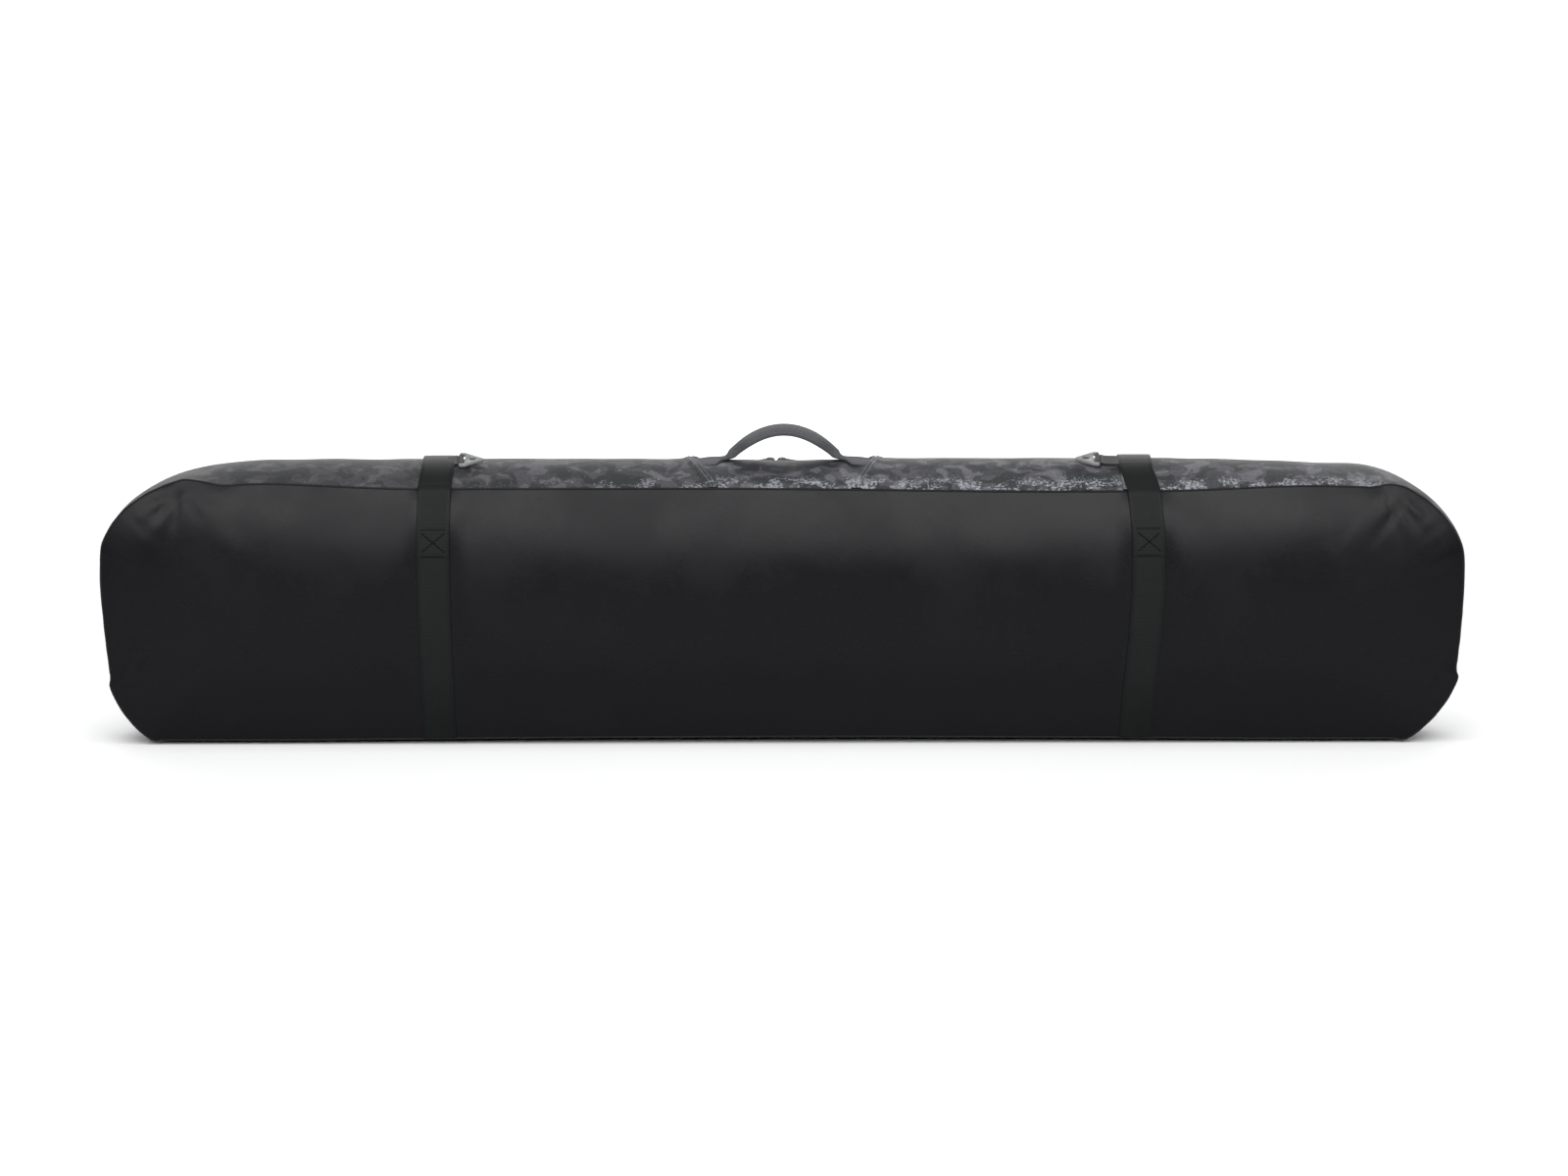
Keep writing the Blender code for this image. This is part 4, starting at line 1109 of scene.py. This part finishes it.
def make_hinge_fold(looks):
    """The folded cloth between the base and the lid, which bends over the hinge line."""
    s = np.linspace(BASE_START, OUTLINE.length, 260)
    s = s[np.abs(OUTLINE.at(s)[0]) < 0.70]
    x, base_z = skin(s, SEAM_Y - SEAM_EDGE, 0.0)[:, (0, 2)].T
    section = ((-0.0052, None), (-0.0034, -0.0062), (0.0002, -0.0040), (0.0026, -0.0004),
               (0.0022, 0.0026), (0.0002, 0.0042))
    rows = []
    for px, pz in zip(x, base_z):
        line = [(px, HINGE_Y + y, pz - 0.0004 if z is None else HINGE_Z + z) for y, z in section]
        rows.append(curve_through(line, 0.0016)[:9])
    count = min(len(row) for row in rows)
    outer = np.stack([row[np.linspace(0, len(row) - 1, count).astype(int)] for row in rows])
    ahead = unit(np.gradient(outer, axis=1))
    inward = np.cross(ahead, np.array((1.0, 0, 0)))
    inner = outer - 0.0008 * inward * np.sign(inward[..., 2:3].mean() or 1)
    uv = np.stack(np.broadcast_arrays(s[:, None], np.arange(count)[None, :] * 0.0016), -1)
    piece = slab("hinge_cloth", outer, inner, looks["tape"], uv)
    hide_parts("hinge_fold")
    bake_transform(piece)


# ---------------------------------------------------------------- zip
def make_zip(looks):
    """The two tapes, and the coil that runs along both."""
    start, stop = OUTLINE.end(-1, TEETH_FOOT), OUTLINE.end(1, TEETH_FOOT)
    for body, (near, far) in TAPES.items():
        ys = np.linspace(near, far, 4)
        s = np.linspace(LID_START, LID_STOP, 420)[:, None] + 0 * ys[None, :]
        yy = np.broadcast_to(ys, s.shape)
        deep = 0.0004
        piece = slab(f"zip_tape_cloth_{body}", skin(s, yy, deep), skin(s, yy, deep + 0.0007),
                     looks["tape"], np.stack((s, yy), -1))
        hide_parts(f"zip_tape_{body}")
        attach(piece, body)
        coil = make_teeth(body, start, stop)
        piece = coil.piece(f"zip_coil_{body}", looks["teeth"], "zip_teeth")
        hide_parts(f"zip_teeth_{body}")
        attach(piece, body)


def make_teeth(body, start, stop):
    """One rounded tooth every pitch, the two sides half a pitch apart so that they mesh."""
    way = 1 if body == "tub" else -1
    count = int((stop - start) / TOOTH_PITCH)
    s = start + (np.arange(count) + (0.25 if body == "tub" else 0.75)) * TOOTH_PITCH
    root, neck, head = ZIP_Y - way * 0.0030, ZIP_Y - way * 0.0004, ZIP_Y + way * 0.0005
    turns = full_turn(6)
    rings = []
    for y, wide in ((root, 0.00042), (neck, 0.00045), (head, 0.00036)):
        middle = skin(s, y, -0.0003)
        out = unit(skin(s, y, -0.0013) - middle)
        ahead = unit(skin(s + 0.001, y, -0.0003) - middle)
        ring = [middle + wide * math.cos(t) * ahead + 0.00105 * math.sin(t) * out for t in turns]
        rings.append(np.stack(ring, 1))
    bodies = np.stack(rings, 1).reshape(count, -1, 3)
    parts, faces = Parts(), tube_faces(3, 6)
    for tooth in bodies:
        parts.add(tooth, faces)
    return parts


# ---------------------------------------------------------------- moulded parts
def rounded(corners, radius, steps=5):
    """A closed outline with an arc at each corner. The radius may differ per corner."""
    corners = [Vector(c) for c in corners]
    radii = radius if isinstance(radius, (list, tuple)) else [radius] * len(corners)
    path = []
    for number, corner in enumerate(corners):
        back = (corners[number - 1] - corner).normalized()
        ahead = (corners[(number + 1) % len(corners)] - corner).normalized()
        half = back.angle(ahead) / 2
        if half > 1.55 or radii[number] <= 0:
            path.append(tuple(corner))
            continue
        middle = corner + (back + ahead).normalized() * radii[number] / math.sin(half)
        reach = radii[number] / math.tan(half)
        first, last = corner + back * reach - middle, corner + ahead * reach - middle
        turn = math.atan2(first.x * last.y - first.y * last.x, first.dot(last))
        for step in range(steps + 1):
            a = turn * step / steps
            path.append((middle.x + first.x * math.cos(a) - first.y * math.sin(a),
                         middle.y + first.x * math.sin(a) + first.y * math.cos(a)))
    return path


def oval(x, y, rx, ry, count=20):
    """A closed outline round a middle point."""
    turns = full_turn(count)
    return [(x + rx * math.cos(t), y + ry * math.sin(t)) for t in turns]


def oblong(x0, y0, x1, y1, radius):
    """A rectangle's closed outline, between two corners."""
    return rounded([(x0, y0), (x1, y0), (x1, y1), (x0, y1)], radius)


def moulded(parts, loops, thickness, edge, place):
    """A plate with softened edges: an outline and its holes, in a plane square to place's Z."""
    curve = bpy.data.curves.new("plate", "CURVE")
    curve.dimensions, curve.fill_mode = "2D", "BOTH"
    curve.extrude, curve.offset = thickness / 2 - edge, -edge
    curve.bevel_depth, curve.bevel_resolution = edge, 2
    for loop in loops:
        spline = curve.splines.new("POLY")
        spline.points.add(len(loop) - 1)
        for point, (x, y) in zip(spline.points, loop):
            point.co = (x, y, 0, 1)
        spline.use_cyclic_u = True
    holder = link("plate", curve)
    bpy.context.view_layer.update()
    filled = holder.evaluated_get(bpy.context.evaluated_depsgraph_get())
    shape = bpy.data.meshes.new_from_object(filled)
    builder = bmesh.new()
    builder.from_mesh(shape)
    bmesh.ops.remove_doubles(builder, verts=builder.verts, dist=2e-6)
    points = [tuple(place @ v.co) for v in builder.verts]
    parts.add(points, [[v.index for v in face.verts] for face in builder.faces])
    builder.free()
    bpy.data.objects.remove(holder)


def zip_frame(x):
    """Where a slider stands: X along the zip, Z out of the bag."""
    lean = Matrix.Rotation(-math.atan(crown_slope(ZIP_Y)), 4, "X")
    return Matrix.Translation((x, ZIP_Y, crown_height(ZIP_Y))) @ lean


def rod(parts, line, radius, count=8):
    """A round rod along a line of points in one plane."""
    line = np.asarray(line, float)
    ahead = unit(np.gradient(line, axis=0))
    side = unit(np.cross(ahead, np.cross(ahead[len(ahead) // 2], ahead[0]) + 1e-9))
    other = np.cross(ahead, side)
    turns = full_turn(count)
    rings = [line + radius * (math.cos(t) * side + math.sin(t) * other) for t in turns]
    parts.add(np.stack(rings, 1), tube_faces(len(line), count))


def make_slider(side, looks):
    """A slider's shield, back plate and bail, and its ribbed pull tab with two holes."""
    x, way = SLIDERS[side]
    stand = zip_frame(x)
    parts = Parts()
    shield = rounded([(-0.0056 * way, -0.0052), (0.0010 * way, -0.0062), (0.0058 * way, -0.0040),
                      (0.0058 * way, 0.0034), (0.0010 * way, 0.0047), (-0.0056 * way, 0.0040)],
                     0.0012)
    moulded(parts, [shield], 0.0014, 0.0004, stand @ Matrix.Translation((0, 0, 0.0046)))
    moulded(parts, [oblong(-0.0052, -0.0061, 0.0052, -0.0047, 0.0005)], 0.0044, 0.0003,
            stand @ Matrix.Translation((0, 0, 0.0027)))
    bail = [(-0.0042, 0, 0.0045), (-0.0042, 0, 0.0072), (-0.0030, 0, 0.0086), (0, 0, 0.0090),
            (0.0030, 0, 0.0086), (0.0042, 0, 0.0072), (0.0042, 0, 0.0045)]
    line = curve_through(bail, 0.0008)
    rod(parts, [tuple(stand @ Vector(p)) for p in line], 0.0009)
    piece = parts.piece(f"slider_{side}", looks["metal"], "dark_metal")
    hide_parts(f"zip_slider_{side}")
    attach(piece, f"slider_{side}")
    turned = (stand @ Matrix.Rotation(0 if way > 0 else math.pi, 4, "Z")
              @ Matrix.Translation((0, 0, 0.0064)) @ Matrix.Rotation(TAB_DROOP, 4, "Y"))
    pull = Parts()
    tab = rounded([(-0.0010, -0.0034), (0.0060, -0.0042), (0.0240, -0.0034), (0.0240, 0.0034),
                   (0.0060, 0.0042), (-0.0010, 0.0034)],
                  [0.0012, 0.004, 0.002, 0.002, 0.004, 0.0012])
    holes = [oblong(0.0006, -0.0024, 0.0060, 0.0024, 0.0008), oval(0.0205, 0, 0.0016, 0.0016)]
    moulded(pull, [tab, *holes], 0.0015, 0.0004, turned)
    for mark in (0.0090, 0.0112, 0.0134, 0.0156):
        rib = oblong(mark, -0.0024, mark + 0.0009, 0.0024, 0.0004)
        moulded(pull, [rib], 0.0021, 0.0003, turned)
    piece = pull.piece(f"pull_tab_{side}", looks["metal"], "dark_metal")
    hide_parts(f"zip_pull_{side}")
    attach(piece, f"pull_{side}")


# ---------------------------------------------------------------- straps
def bow(side, z, y=-0.07):
    """How far a strap wanders sideways, by its height up the back and its way over the top."""
    low, box, crown = BOWS[side]
    reach = np.asarray(z, float) + np.clip(np.asarray(y, float) + 0.066, 0, None)
    return np.interp(reach, BOW_REACH, (
        low, 0.75 * low + 0.25 * box, 0.30 * low + 0.70 * box, box, box,
        0.55 * box + 0.45 * crown, crown, 0.8 * crown, 0))


def ribbon(name, side, path, looks, node, thick=WEB_THICK, start=0.0):
    """Webbing along a smooth path of (y, z) points on its underside, thinner at its woven edges.

    Returns the piece and the (y, z) line of its outer face."""
    line = curve_through(path, 0.0035)
    ahead = unit(np.gradient(line, axis=0))
    up = np.stack((-ahead[:, 1], ahead[:, 0]), -1)
    along = start + distances(line)
    across = np.array((-1, -0.985, -0.94, -0.84, -0.5, 0, 0.5, 0.84, 0.94, 0.985, 1.0))
    body = np.array((0.55, 0.9, 1.0, 0.86, 1.0, 1.0, 1.0, 0.86, 1.0, 0.9, 0.55))
    x = STRAPS[side] + bow(side, line[:, 1], line[:, 0])[:, None] + across * WEBBING / 2
    grids = []
    for level in (thick, 0.0):
        lift = (level - thick / 2) * body + thick / 2
        yz = line[:, None, :] + up[:, None, :] * lift[None, :, None]
        grids.append(np.concatenate((x[..., None], yz), -1))
    uv = np.stack(np.broadcast_arrays(along[:, None], across * WEBBING / 2), -1)
    piece = slab(name, grids[0], grids[1], looks["webbing"], uv)
    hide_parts(*node)
    return piece, line + up * thick


def climb(side, x, low, high, lift, step=0.012):
    """A strap's path up a panel, a little off its face."""
    heights = np.linspace(low, high, max(3, round((high - low) / step)))
    return [(side * (float(panel_face(x, z, side)) + lift), z) for z in heights]


def over_top(x, ys, lift):
    """A strap's path over the top."""
    return [(y, crown_height(y, x) + lift) for y in ys]


def box_stitches(parts, side, line, low, high, face=-1):
    """A stitched cross between two cross lines, on the strap's outer face."""
    order = np.argsort(line[:, 1])
    half, mid = WEBBING / 2 - 0.0042, STRAPS[side]

    def lay(points):
        points = resample(np.array(points, float), 0.0015)
        x, z = points.T
        y = np.interp(z, line[order, 1], line[order, 0])
        spot = np.stack((mid + (bow(side, z) if face < 0 else 0) + x, y + face * 0.0001, z), -1)
        out = np.broadcast_to((0.0, face, 0.0), spot.shape)
        for shift in (-0.0006, 0.0006):
            stitch_bodies(parts, spot + (0, 0, shift), out)

    edge = half + 0.0020
    lay([(-edge, low), (edge, low)])
    lay([(-edge, high), (edge, high)])
    lay([(-half, low + 0.003), (half, high - 0.003)])
    lay([(half, low + 0.003), (-half, high - 0.003)])


def make_straps(looks):
    """Each strap: the length sewn up the back, the loose shoulder, the crown, and its buckle."""
    lift = GAP + WEB_THICK + 0.0002
    for side, x in STRAPS.items():
        path = [(-SEAM_Y - 0.0008, 0.0085)] + climb(-1, x, 0.013, BOX_HIGH, GAP)
        piece, _ = ribbon(f"strap_low_{side}", side, path, looks, [f"strap_back_{side}"])
        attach(piece, "tub")
        top = crown_height(-0.0615, x)
        path = climb(-1, x, BOX_LOW, top - 0.017, lift)
        path += [(-0.0677, top - 0.0105), (-0.0664, top - 0.0042), (-0.0641, top + 0.0014),
                 (-0.0604, crown_height(-0.0604, x) + 0.0028)]
        path += over_top(x, (-0.0560, -0.0500, -0.0440, -0.0360, -0.0280), 0.0026)
        piece, face = ribbon(f"strap_shoulder_{side}", side, path, looks, [f"strap_rise_{side}"])
        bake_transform(piece)
        threads = Parts()
        box_stitches(threads, side, face, BOX_LOW + 0.0015, BOX_HIGH - 0.0010)
        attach(threads.piece(f"strap_stitches_{side}", looks["thread"], "webbing"), "tub")
        path = over_top(x, (-0.0281, -0.0200, -0.0100, 0.0), 0.0026)
        path += over_top(x, (0.012, 0.025, 0.037, 0.046), 0.0030)
        mouth_y, mouth_z = BUCKLE_MOUTH
        path += [(mouth_y - 0.0150 * math.cos(BUCKLE_TILT),
                  mouth_z + 0.0150 * math.sin(BUCKLE_TILT))]
        piece, _ = ribbon(f"strap_crown_{side}", side, path, looks,
                          [f"strap_top_{side}", f"strap_end_{side}"], start=SHOULDER_LENGTH)
        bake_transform(piece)
        make_buckle(side, x, looks)


# ---------------------------------------------------------------- buckles
def buckle_frame(x):
    """Where a buckle stands: Y towards the strap, Z out of the bag."""
    turn = Matrix.Rotation(math.pi / 2 - BUCKLE_TILT, 4, "X")
    return Matrix.Translation((x, *BUCKLE_MOUTH)) @ turn @ Matrix.Rotation(math.pi / 2, 4, "X")


def buckle_female_parts(stand):
    """Two shells with side windows, rails and a floor between them, and a slot for the webbing."""
    parts = Parts()
    half = 0.0240
    outline = rounded([(-half, -0.0300), (half, -0.0300), (half, -0.0175), (half - 0.0030, -0.0150),
                       (half - 0.0030, -0.0060), (half, -0.0035), (half, -0.0004), (-half, -0.0004),
                       (-half, -0.0035), (-half + 0.0030, -0.0060), (-half + 0.0030, -0.0150),
                       (-half, -0.0175)], [0.004, 0.004, 0.002, 0.002, 0.002, 0.002, 0.0006, 0.0006,
                                           0.002, 0.002, 0.002, 0.002])
    slot = oblong(-0.0200, -0.0258, 0.0200, -0.0206, 0.0012)
    for level in (-0.0030, 0.0030):
        moulded(parts, [outline, slot], 0.0020, 0.0006, stand @ Matrix.Translation((0, 0, level)))
    floor = rounded([(-half, -0.0300), (half, -0.0300), (half, -0.0185), (-half, -0.0185)], 0.002)
    moulded(parts, [floor, slot], 0.0066, 0.0004, stand)
    for way in (-1, 1):
        rail = oblong(way * 0.0100 - 0.0012, -0.0186, way * 0.0100 + 0.0012, -0.0030, 0.0006)
        moulded(parts, [rail], 0.0044, 0.0003, stand)
    ridge = oblong(-0.0120, -0.0120, 0.0120, -0.0112, 0.0004)
    for step in range(3):
        shift = Matrix.Translation((0, -0.0026 * step, 0.0040))
        moulded(parts, [ridge], 0.0008, 0.0002, stand @ shift)
    return parts


def buckle_male_parts(stand):
    """A webbing bar and two curved arms that spring out to the side windows."""
    parts = Parts()
    half = 0.0230
    outline = rounded([(-half, 0.0004), (half, 0.0004), (half, 0.0130), (-half, 0.0130)],
                      [0.0010, 0.0010, 0.003, 0.003])
    slot = oblong(-0.0196, 0.0060, 0.0196, 0.0096, 0.0010)
    moulded(parts, [outline, slot], 0.0062, 0.0010, stand)
    for way in (-1, 1):
        arm = [(0.0150, 0.0010), (0.0190, 0.0010), (0.0196, -0.0040), (0.0214, -0.0062),
               (0.0210, -0.0118), (0.0168, -0.0122), (0.0156, -0.0050)]
        moulded(parts, [rounded([(way * a, b) for a, b in arm], 0.0009)], 0.0028, 0.0005, stand)
    tongue = oblong(-0.0035, -0.0110, 0.0035, 0.0010, 0.0010)
    moulded(parts, [tongue], 0.0024, 0.0004, stand)
    return parts


def make_buckle(side, x, looks):
    """Both halves of a buckle, and the webbing up the lid that holds the socket."""
    stand = buckle_frame(x)
    female = buckle_female_parts(stand)
    female = female.piece(f"clip_socket_{side}", looks["plastic"], "black_plastic")
    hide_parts(f"buckle_female_{side}")
    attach(female, "lid")
    male = buckle_male_parts(stand)
    male = male.piece(f"clip_plug_{side}", looks["plastic"], "black_plastic")
    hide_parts(f"buckle_male_{side}")
    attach(male, f"strap_end_{side}")
    slot = stand @ Vector((0, -0.0232, 0))
    path = [(SEAM_Y + 0.0008, 0.0205)] + climb(1, x, 0.026, 0.244, GAP)
    path += [(0.0773, 0.258), (0.0802, 0.268), (0.0813, 0.2752), (slot.y + 0.0004, slot.z)]
    piece, face = ribbon(f"strap_face_{side}", side, path, looks, [f"strap_front_{side}"],
                         thick=-WEB_THICK)
    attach(piece, "lid")
    threads = Parts()
    box_stitches(threads, side, face, 0.030, 0.060, face=1)
    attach(threads.piece(f"strap_face_stitches_{side}", looks["thread"], "webbing"), "lid")


# ---------------------------------------------------------------- carry handle
def handle_line():
    """The band's middle line from foot to foot, and its thickness and width along it."""
    across = np.linspace(-0.93, 0.93, 31)
    arch = np.stack((HANDLE_X + 0.0640 * across, ARCH_TOP - 0.0315 * across ** 2), -1)
    foot = ((0.0655, 0.3290), (0.0725, 0.3272), (0.0850, 0.3268), (0.0960, 0.3255),
            (0.1040, 0.3236), (0.1140, 0.3225))
    left = [(HANDLE_X - out, z) for out, z in foot[::-1]]
    right = [(HANDLE_X + out, z) for out, z in foot]
    line = curve_through([*left, *arch.tolist(), *right], 0.0022)
    height = line[:, 1]
    rise = smooth((height - 0.332) / 0.022)
    flat = 1 - smooth((height - 0.3272) / 0.0060)
    thick = 0.0112 + 0.0010 * rise - 0.0072 * flat
    spread = np.abs(line[:, 0] - HANDLE_X)
    width = (0.022 + 0.022 * smooth((height - 0.334) / 0.016)
             + 0.030 * smooth((spread - 0.0690) / 0.0110))
    return line, thick, width


def handle_section(count=48):
    """A rounded section, as shares of half the thickness and half the width."""
    turns = full_turn(count)
    u = np.sign(np.cos(turns)) * np.abs(np.cos(turns)) ** 0.55
    v = np.sign(np.sin(turns)) * np.abs(np.sin(turns)) ** 0.42
    return u, v


def make_handle(looks):
    """The padded band and its two feet, with fine ribs that run from foot to foot."""
    line, thick, width = handle_line()
    ahead = unit(np.gradient(line, axis=0))
    out = np.stack((-ahead[:, 1], 0 * ahead[:, 0], ahead[:, 0]), -1)
    middle = np.stack((line[:, 0], 0 * line[:, 0] - 0.0015, line[:, 1]), -1)
    u, v = handle_section()
    ribs = 1 + 0.035 * np.cos(12 * np.arange(len(u)) * math.tau / len(u))
    aside = width[:, None] / 2 * v
    sag = CROWN_DROP * (aside / SEAM_Y) ** 2 * (1 - smooth((line[:, 1] - 0.3275) / 0.006))[:, None]
    points = middle[:, None] + out[:, None] * (thick[:, None] / 2 * u * ribs)[..., None]
    points = points + np.stack((0 * aside, aside, -sag), -1)
    ring = np.concatenate((u[:, None] * 0.006, v[:, None] * 0.022), 1)
    step = np.linalg.norm(ring - np.roll(ring, 1, 0), axis=1)
    around = np.cumsum(step)
    along = distances(line)
    uv = np.stack(np.broadcast_arrays(along[:, None], around[None, :]), -1).reshape(-1, 2)
    piece = add_piece("handle_band", points.reshape(-1, 3), tube_faces(len(line), len(u)),
                      looks["handle"], uv, crease=70)
    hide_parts("handle_webbing", "handle_grip", "handle_foot_left", "handle_foot_right")
    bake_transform(piece)


# ---------------------------------------------------------------- rings
def ring_frame(x, way):
    """Where a ring lies: X from its bar to its tip, Z out of the bag."""
    lean = Matrix.Rotation(math.atan(crown_slope(-RING_Y)) + TWIST, 4, "X")
    stand = Matrix.Translation((x, RING_Y, crown_height(RING_Y))) @ lean
    return stand @ Matrix.Rotation(0 if way > 0 else math.pi, 4, "Z")


def make_ring(side, looks):
    """A moulded triangle: a bar and slot for its tab at the wide end, an oval hole by the tip."""
    x, way = RINGS[side]
    stand = ring_frame(x, way)
    parts = Parts()
    outline = rounded([(-0.0020, -0.0146), (0.0045, -0.0146), (0.0258, -0.0020), (0.0258, 0.0020),
                       (0.0045, 0.0146), (-0.0020, 0.0146)],
                      [0.002, 0.004, 0.0019, 0.0019, 0.004, 0.002])
    slot = oblong(0.0019, -0.0098, 0.0046, 0.0098, 0.0012)
    hole = oval(0.0135, 0, 0.0040, 0.0030)
    moulded(parts, [outline, slot, hole], 0.0036, 0.0010,
            stand @ Matrix.Translation((0, 0, RING_LIFT)))
    piece = parts.piece(f"tri_ring_{side}", looks["ring"], "black_plastic")
    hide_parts(f"d_ring_{side}")
    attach(piece, f"ring_{side}")
    make_ring_tab(side, stand, looks)


def make_ring_tab(side, stand, looks):
    """Folded webbing that holds the ring's bar and is sewn down beside it."""
    near = 0.0024
    turns = np.radians(np.arange(-90, 200, 24))
    tail = -0.021 if side == "left" else -0.034
    loop = [(near * math.cos(t), RING_LIFT + near * math.sin(t)) for t in turns]
    path = [(tail, 0.0008), (tail * 0.6, 0.0010), (-0.0070, 0.0011), (-0.0030, 0.0014), *loop,
            (-0.0050, 0.0042), (-0.0090, 0.0030), (tail * 0.75, 0.0024)]
    line = curve_through(path, 0.0010)
    ahead = unit(np.gradient(line, axis=0))
    up = np.stack((-ahead[:, 1], ahead[:, 0]), -1)
    along = distances(line)
    across = np.array((-1, -0.97, -0.9, -0.5, 0, 0.5, 0.9, 0.97, 1.0)) * 0.0095
    grids = []
    for level in (-0.0005, 0.0005):
        flat = line + up * level
        grid = [[tuple(stand @ Vector((a, v, w))) for v in across] for a, w in flat]
        grids.append(np.array(grid))
    uv = np.stack(np.broadcast_arrays(along[:, None], across), -1)
    piece = slab(f"ring_tab_{side}", grids[0], grids[1], looks["tab"], uv)
    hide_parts(f"d_ring_tab_{side}")
    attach(piece, "tub")


# ---------------------------------------------------------------- studio
def make_stage():
    """A pale floor that curves up into a backdrop behind the bag."""
    g = Graph("pale_floor", 0.85, specular=0.1)
    tone = g.noise(g.place(), 0.8, 3.0, 0.5)
    g.colour(g.mix(tone, (0.86, 0.86, 0.86), (0.88, 0.88, 0.88)))
    turns = np.linspace(0, math.pi / 2, 16)
    front, bend, radius, top = -9.0, 4.8, 2.0, 9.0
    section = [(front, 0.0), (bend, 0.0)]
    section += [(bend + radius * math.sin(t), radius - radius * math.cos(t)) for t in turns[1:]]
    section += [(bend + radius, top)]
    points = [(x, y, z) for y, z in section for x in (-12.0, 12.0)]
    mesh = bpy.data.meshes.new("studio_floor")
    mesh.from_pydata(points, [], grid_faces(len(section), 2))
    mesh.shade_smooth()
    mesh.materials.append(g.look)
    floor = link("studio_floor", mesh)


def area_light(name, place, aim, size, power):
    data = bpy.data.lights.new(name, "AREA")
    data.shape, data.size, data.size_y = "RECTANGLE", *size
    data.energy = power
    light = link(name, data)
    light.location = place
    light.visible_camera = False
    light.rotation_euler = (Vector(aim) - Vector(place)).to_track_quat("-Z", "Y").to_euler()


def make_lights():
    area_light("front_wall", (0.0, -5.8, 2.55), (0, -0.8, 2.55), (9.0, 2.7), 520)
    area_light("overhead_softbox", (0.0, -1.0, 2.6), (0, -0.3, 0.2), (4.2, 3.2), 74)
    area_light("rear_wash", (0.0, 4.6, 4.2), (0, 5.0, 0.6), (8.0, 2.6), 290)
    world = bpy.data.worlds.new("studio")
    world.use_nodes = True
    sky = world.node_tree.nodes["Background"].inputs
    sky["Color"].default_value = (0.95, 0.97, 1.0, 1)
    sky["Strength"].default_value = 0.20
    bpy.context.scene.world = world
    bpy.context.scene.view_settings.view_transform = "Standard"


def make_camera():
    """Nearly square on to the back, a little above it, with a long lens."""
    distance, lift = 4.6, math.radians(7.0)
    width = 1.807  # what the frame takes in across the bag's back
    aim = Vector(ORIGIN) + Vector((0.002, -0.07, 0.183))
    data = bpy.data.cameras.new("camera")
    data.sensor_width = 36.0
    data.lens = 36.0 * distance / width
    data.clip_start, data.clip_end = 0.1, 60
    camera = link("camera", data)
    camera.location = aim + distance * Vector((0, -math.cos(lift), math.sin(lift)))
    roll = Matrix.Rotation(math.radians(-0.10), 4, "Z")
    camera.rotation_euler = (Matrix.Rotation(math.pi / 2 - lift, 4, "X") @ roll).to_euler()
    bpy.context.scene.camera = camera


# ---------------------------------------------------------------- assembly
def make_bag(looks):
    back = make_panel("back_panel_cloth", -1, BACK_RIM, looks, ["back_panel_shell"])
    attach(back, "tub")
    lid = make_panel("lid_panel_cloth", 1, LID_RIM, looks, ["lid_panel_shell"])
    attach(lid, "lid")
    inside = make_panel_lining("back_lining_cloth", -1, 0.0, looks,
                               ["back_panel_foam", "back_panel_lining"])
    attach(inside, "tub")
    inside = make_panel_lining("lid_lining_cloth", 1, HINGE_Z + BEAD + 0.003, looks,
                               ["lid_panel_foam", "lid_panel_lining"])
    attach(inside, "lid")
    make_gusset(looks)
    make_lid_gusset(looks)
    make_piping(looks)
    make_hinge_fold(looks)
    make_zip(looks)
    for side in SLIDERS:
        make_slider(side, looks)
    make_straps(looks)
    make_handle(looks)
    for side in RINGS:
        make_ring(side, looks)
        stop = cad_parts[f"zip_stop_{side}"]
        stop.data.materials.clear()
        stop.data.materials.append(looks["metal"])


make_bag(make_looks())
make_stage()
make_lights()
make_camera()
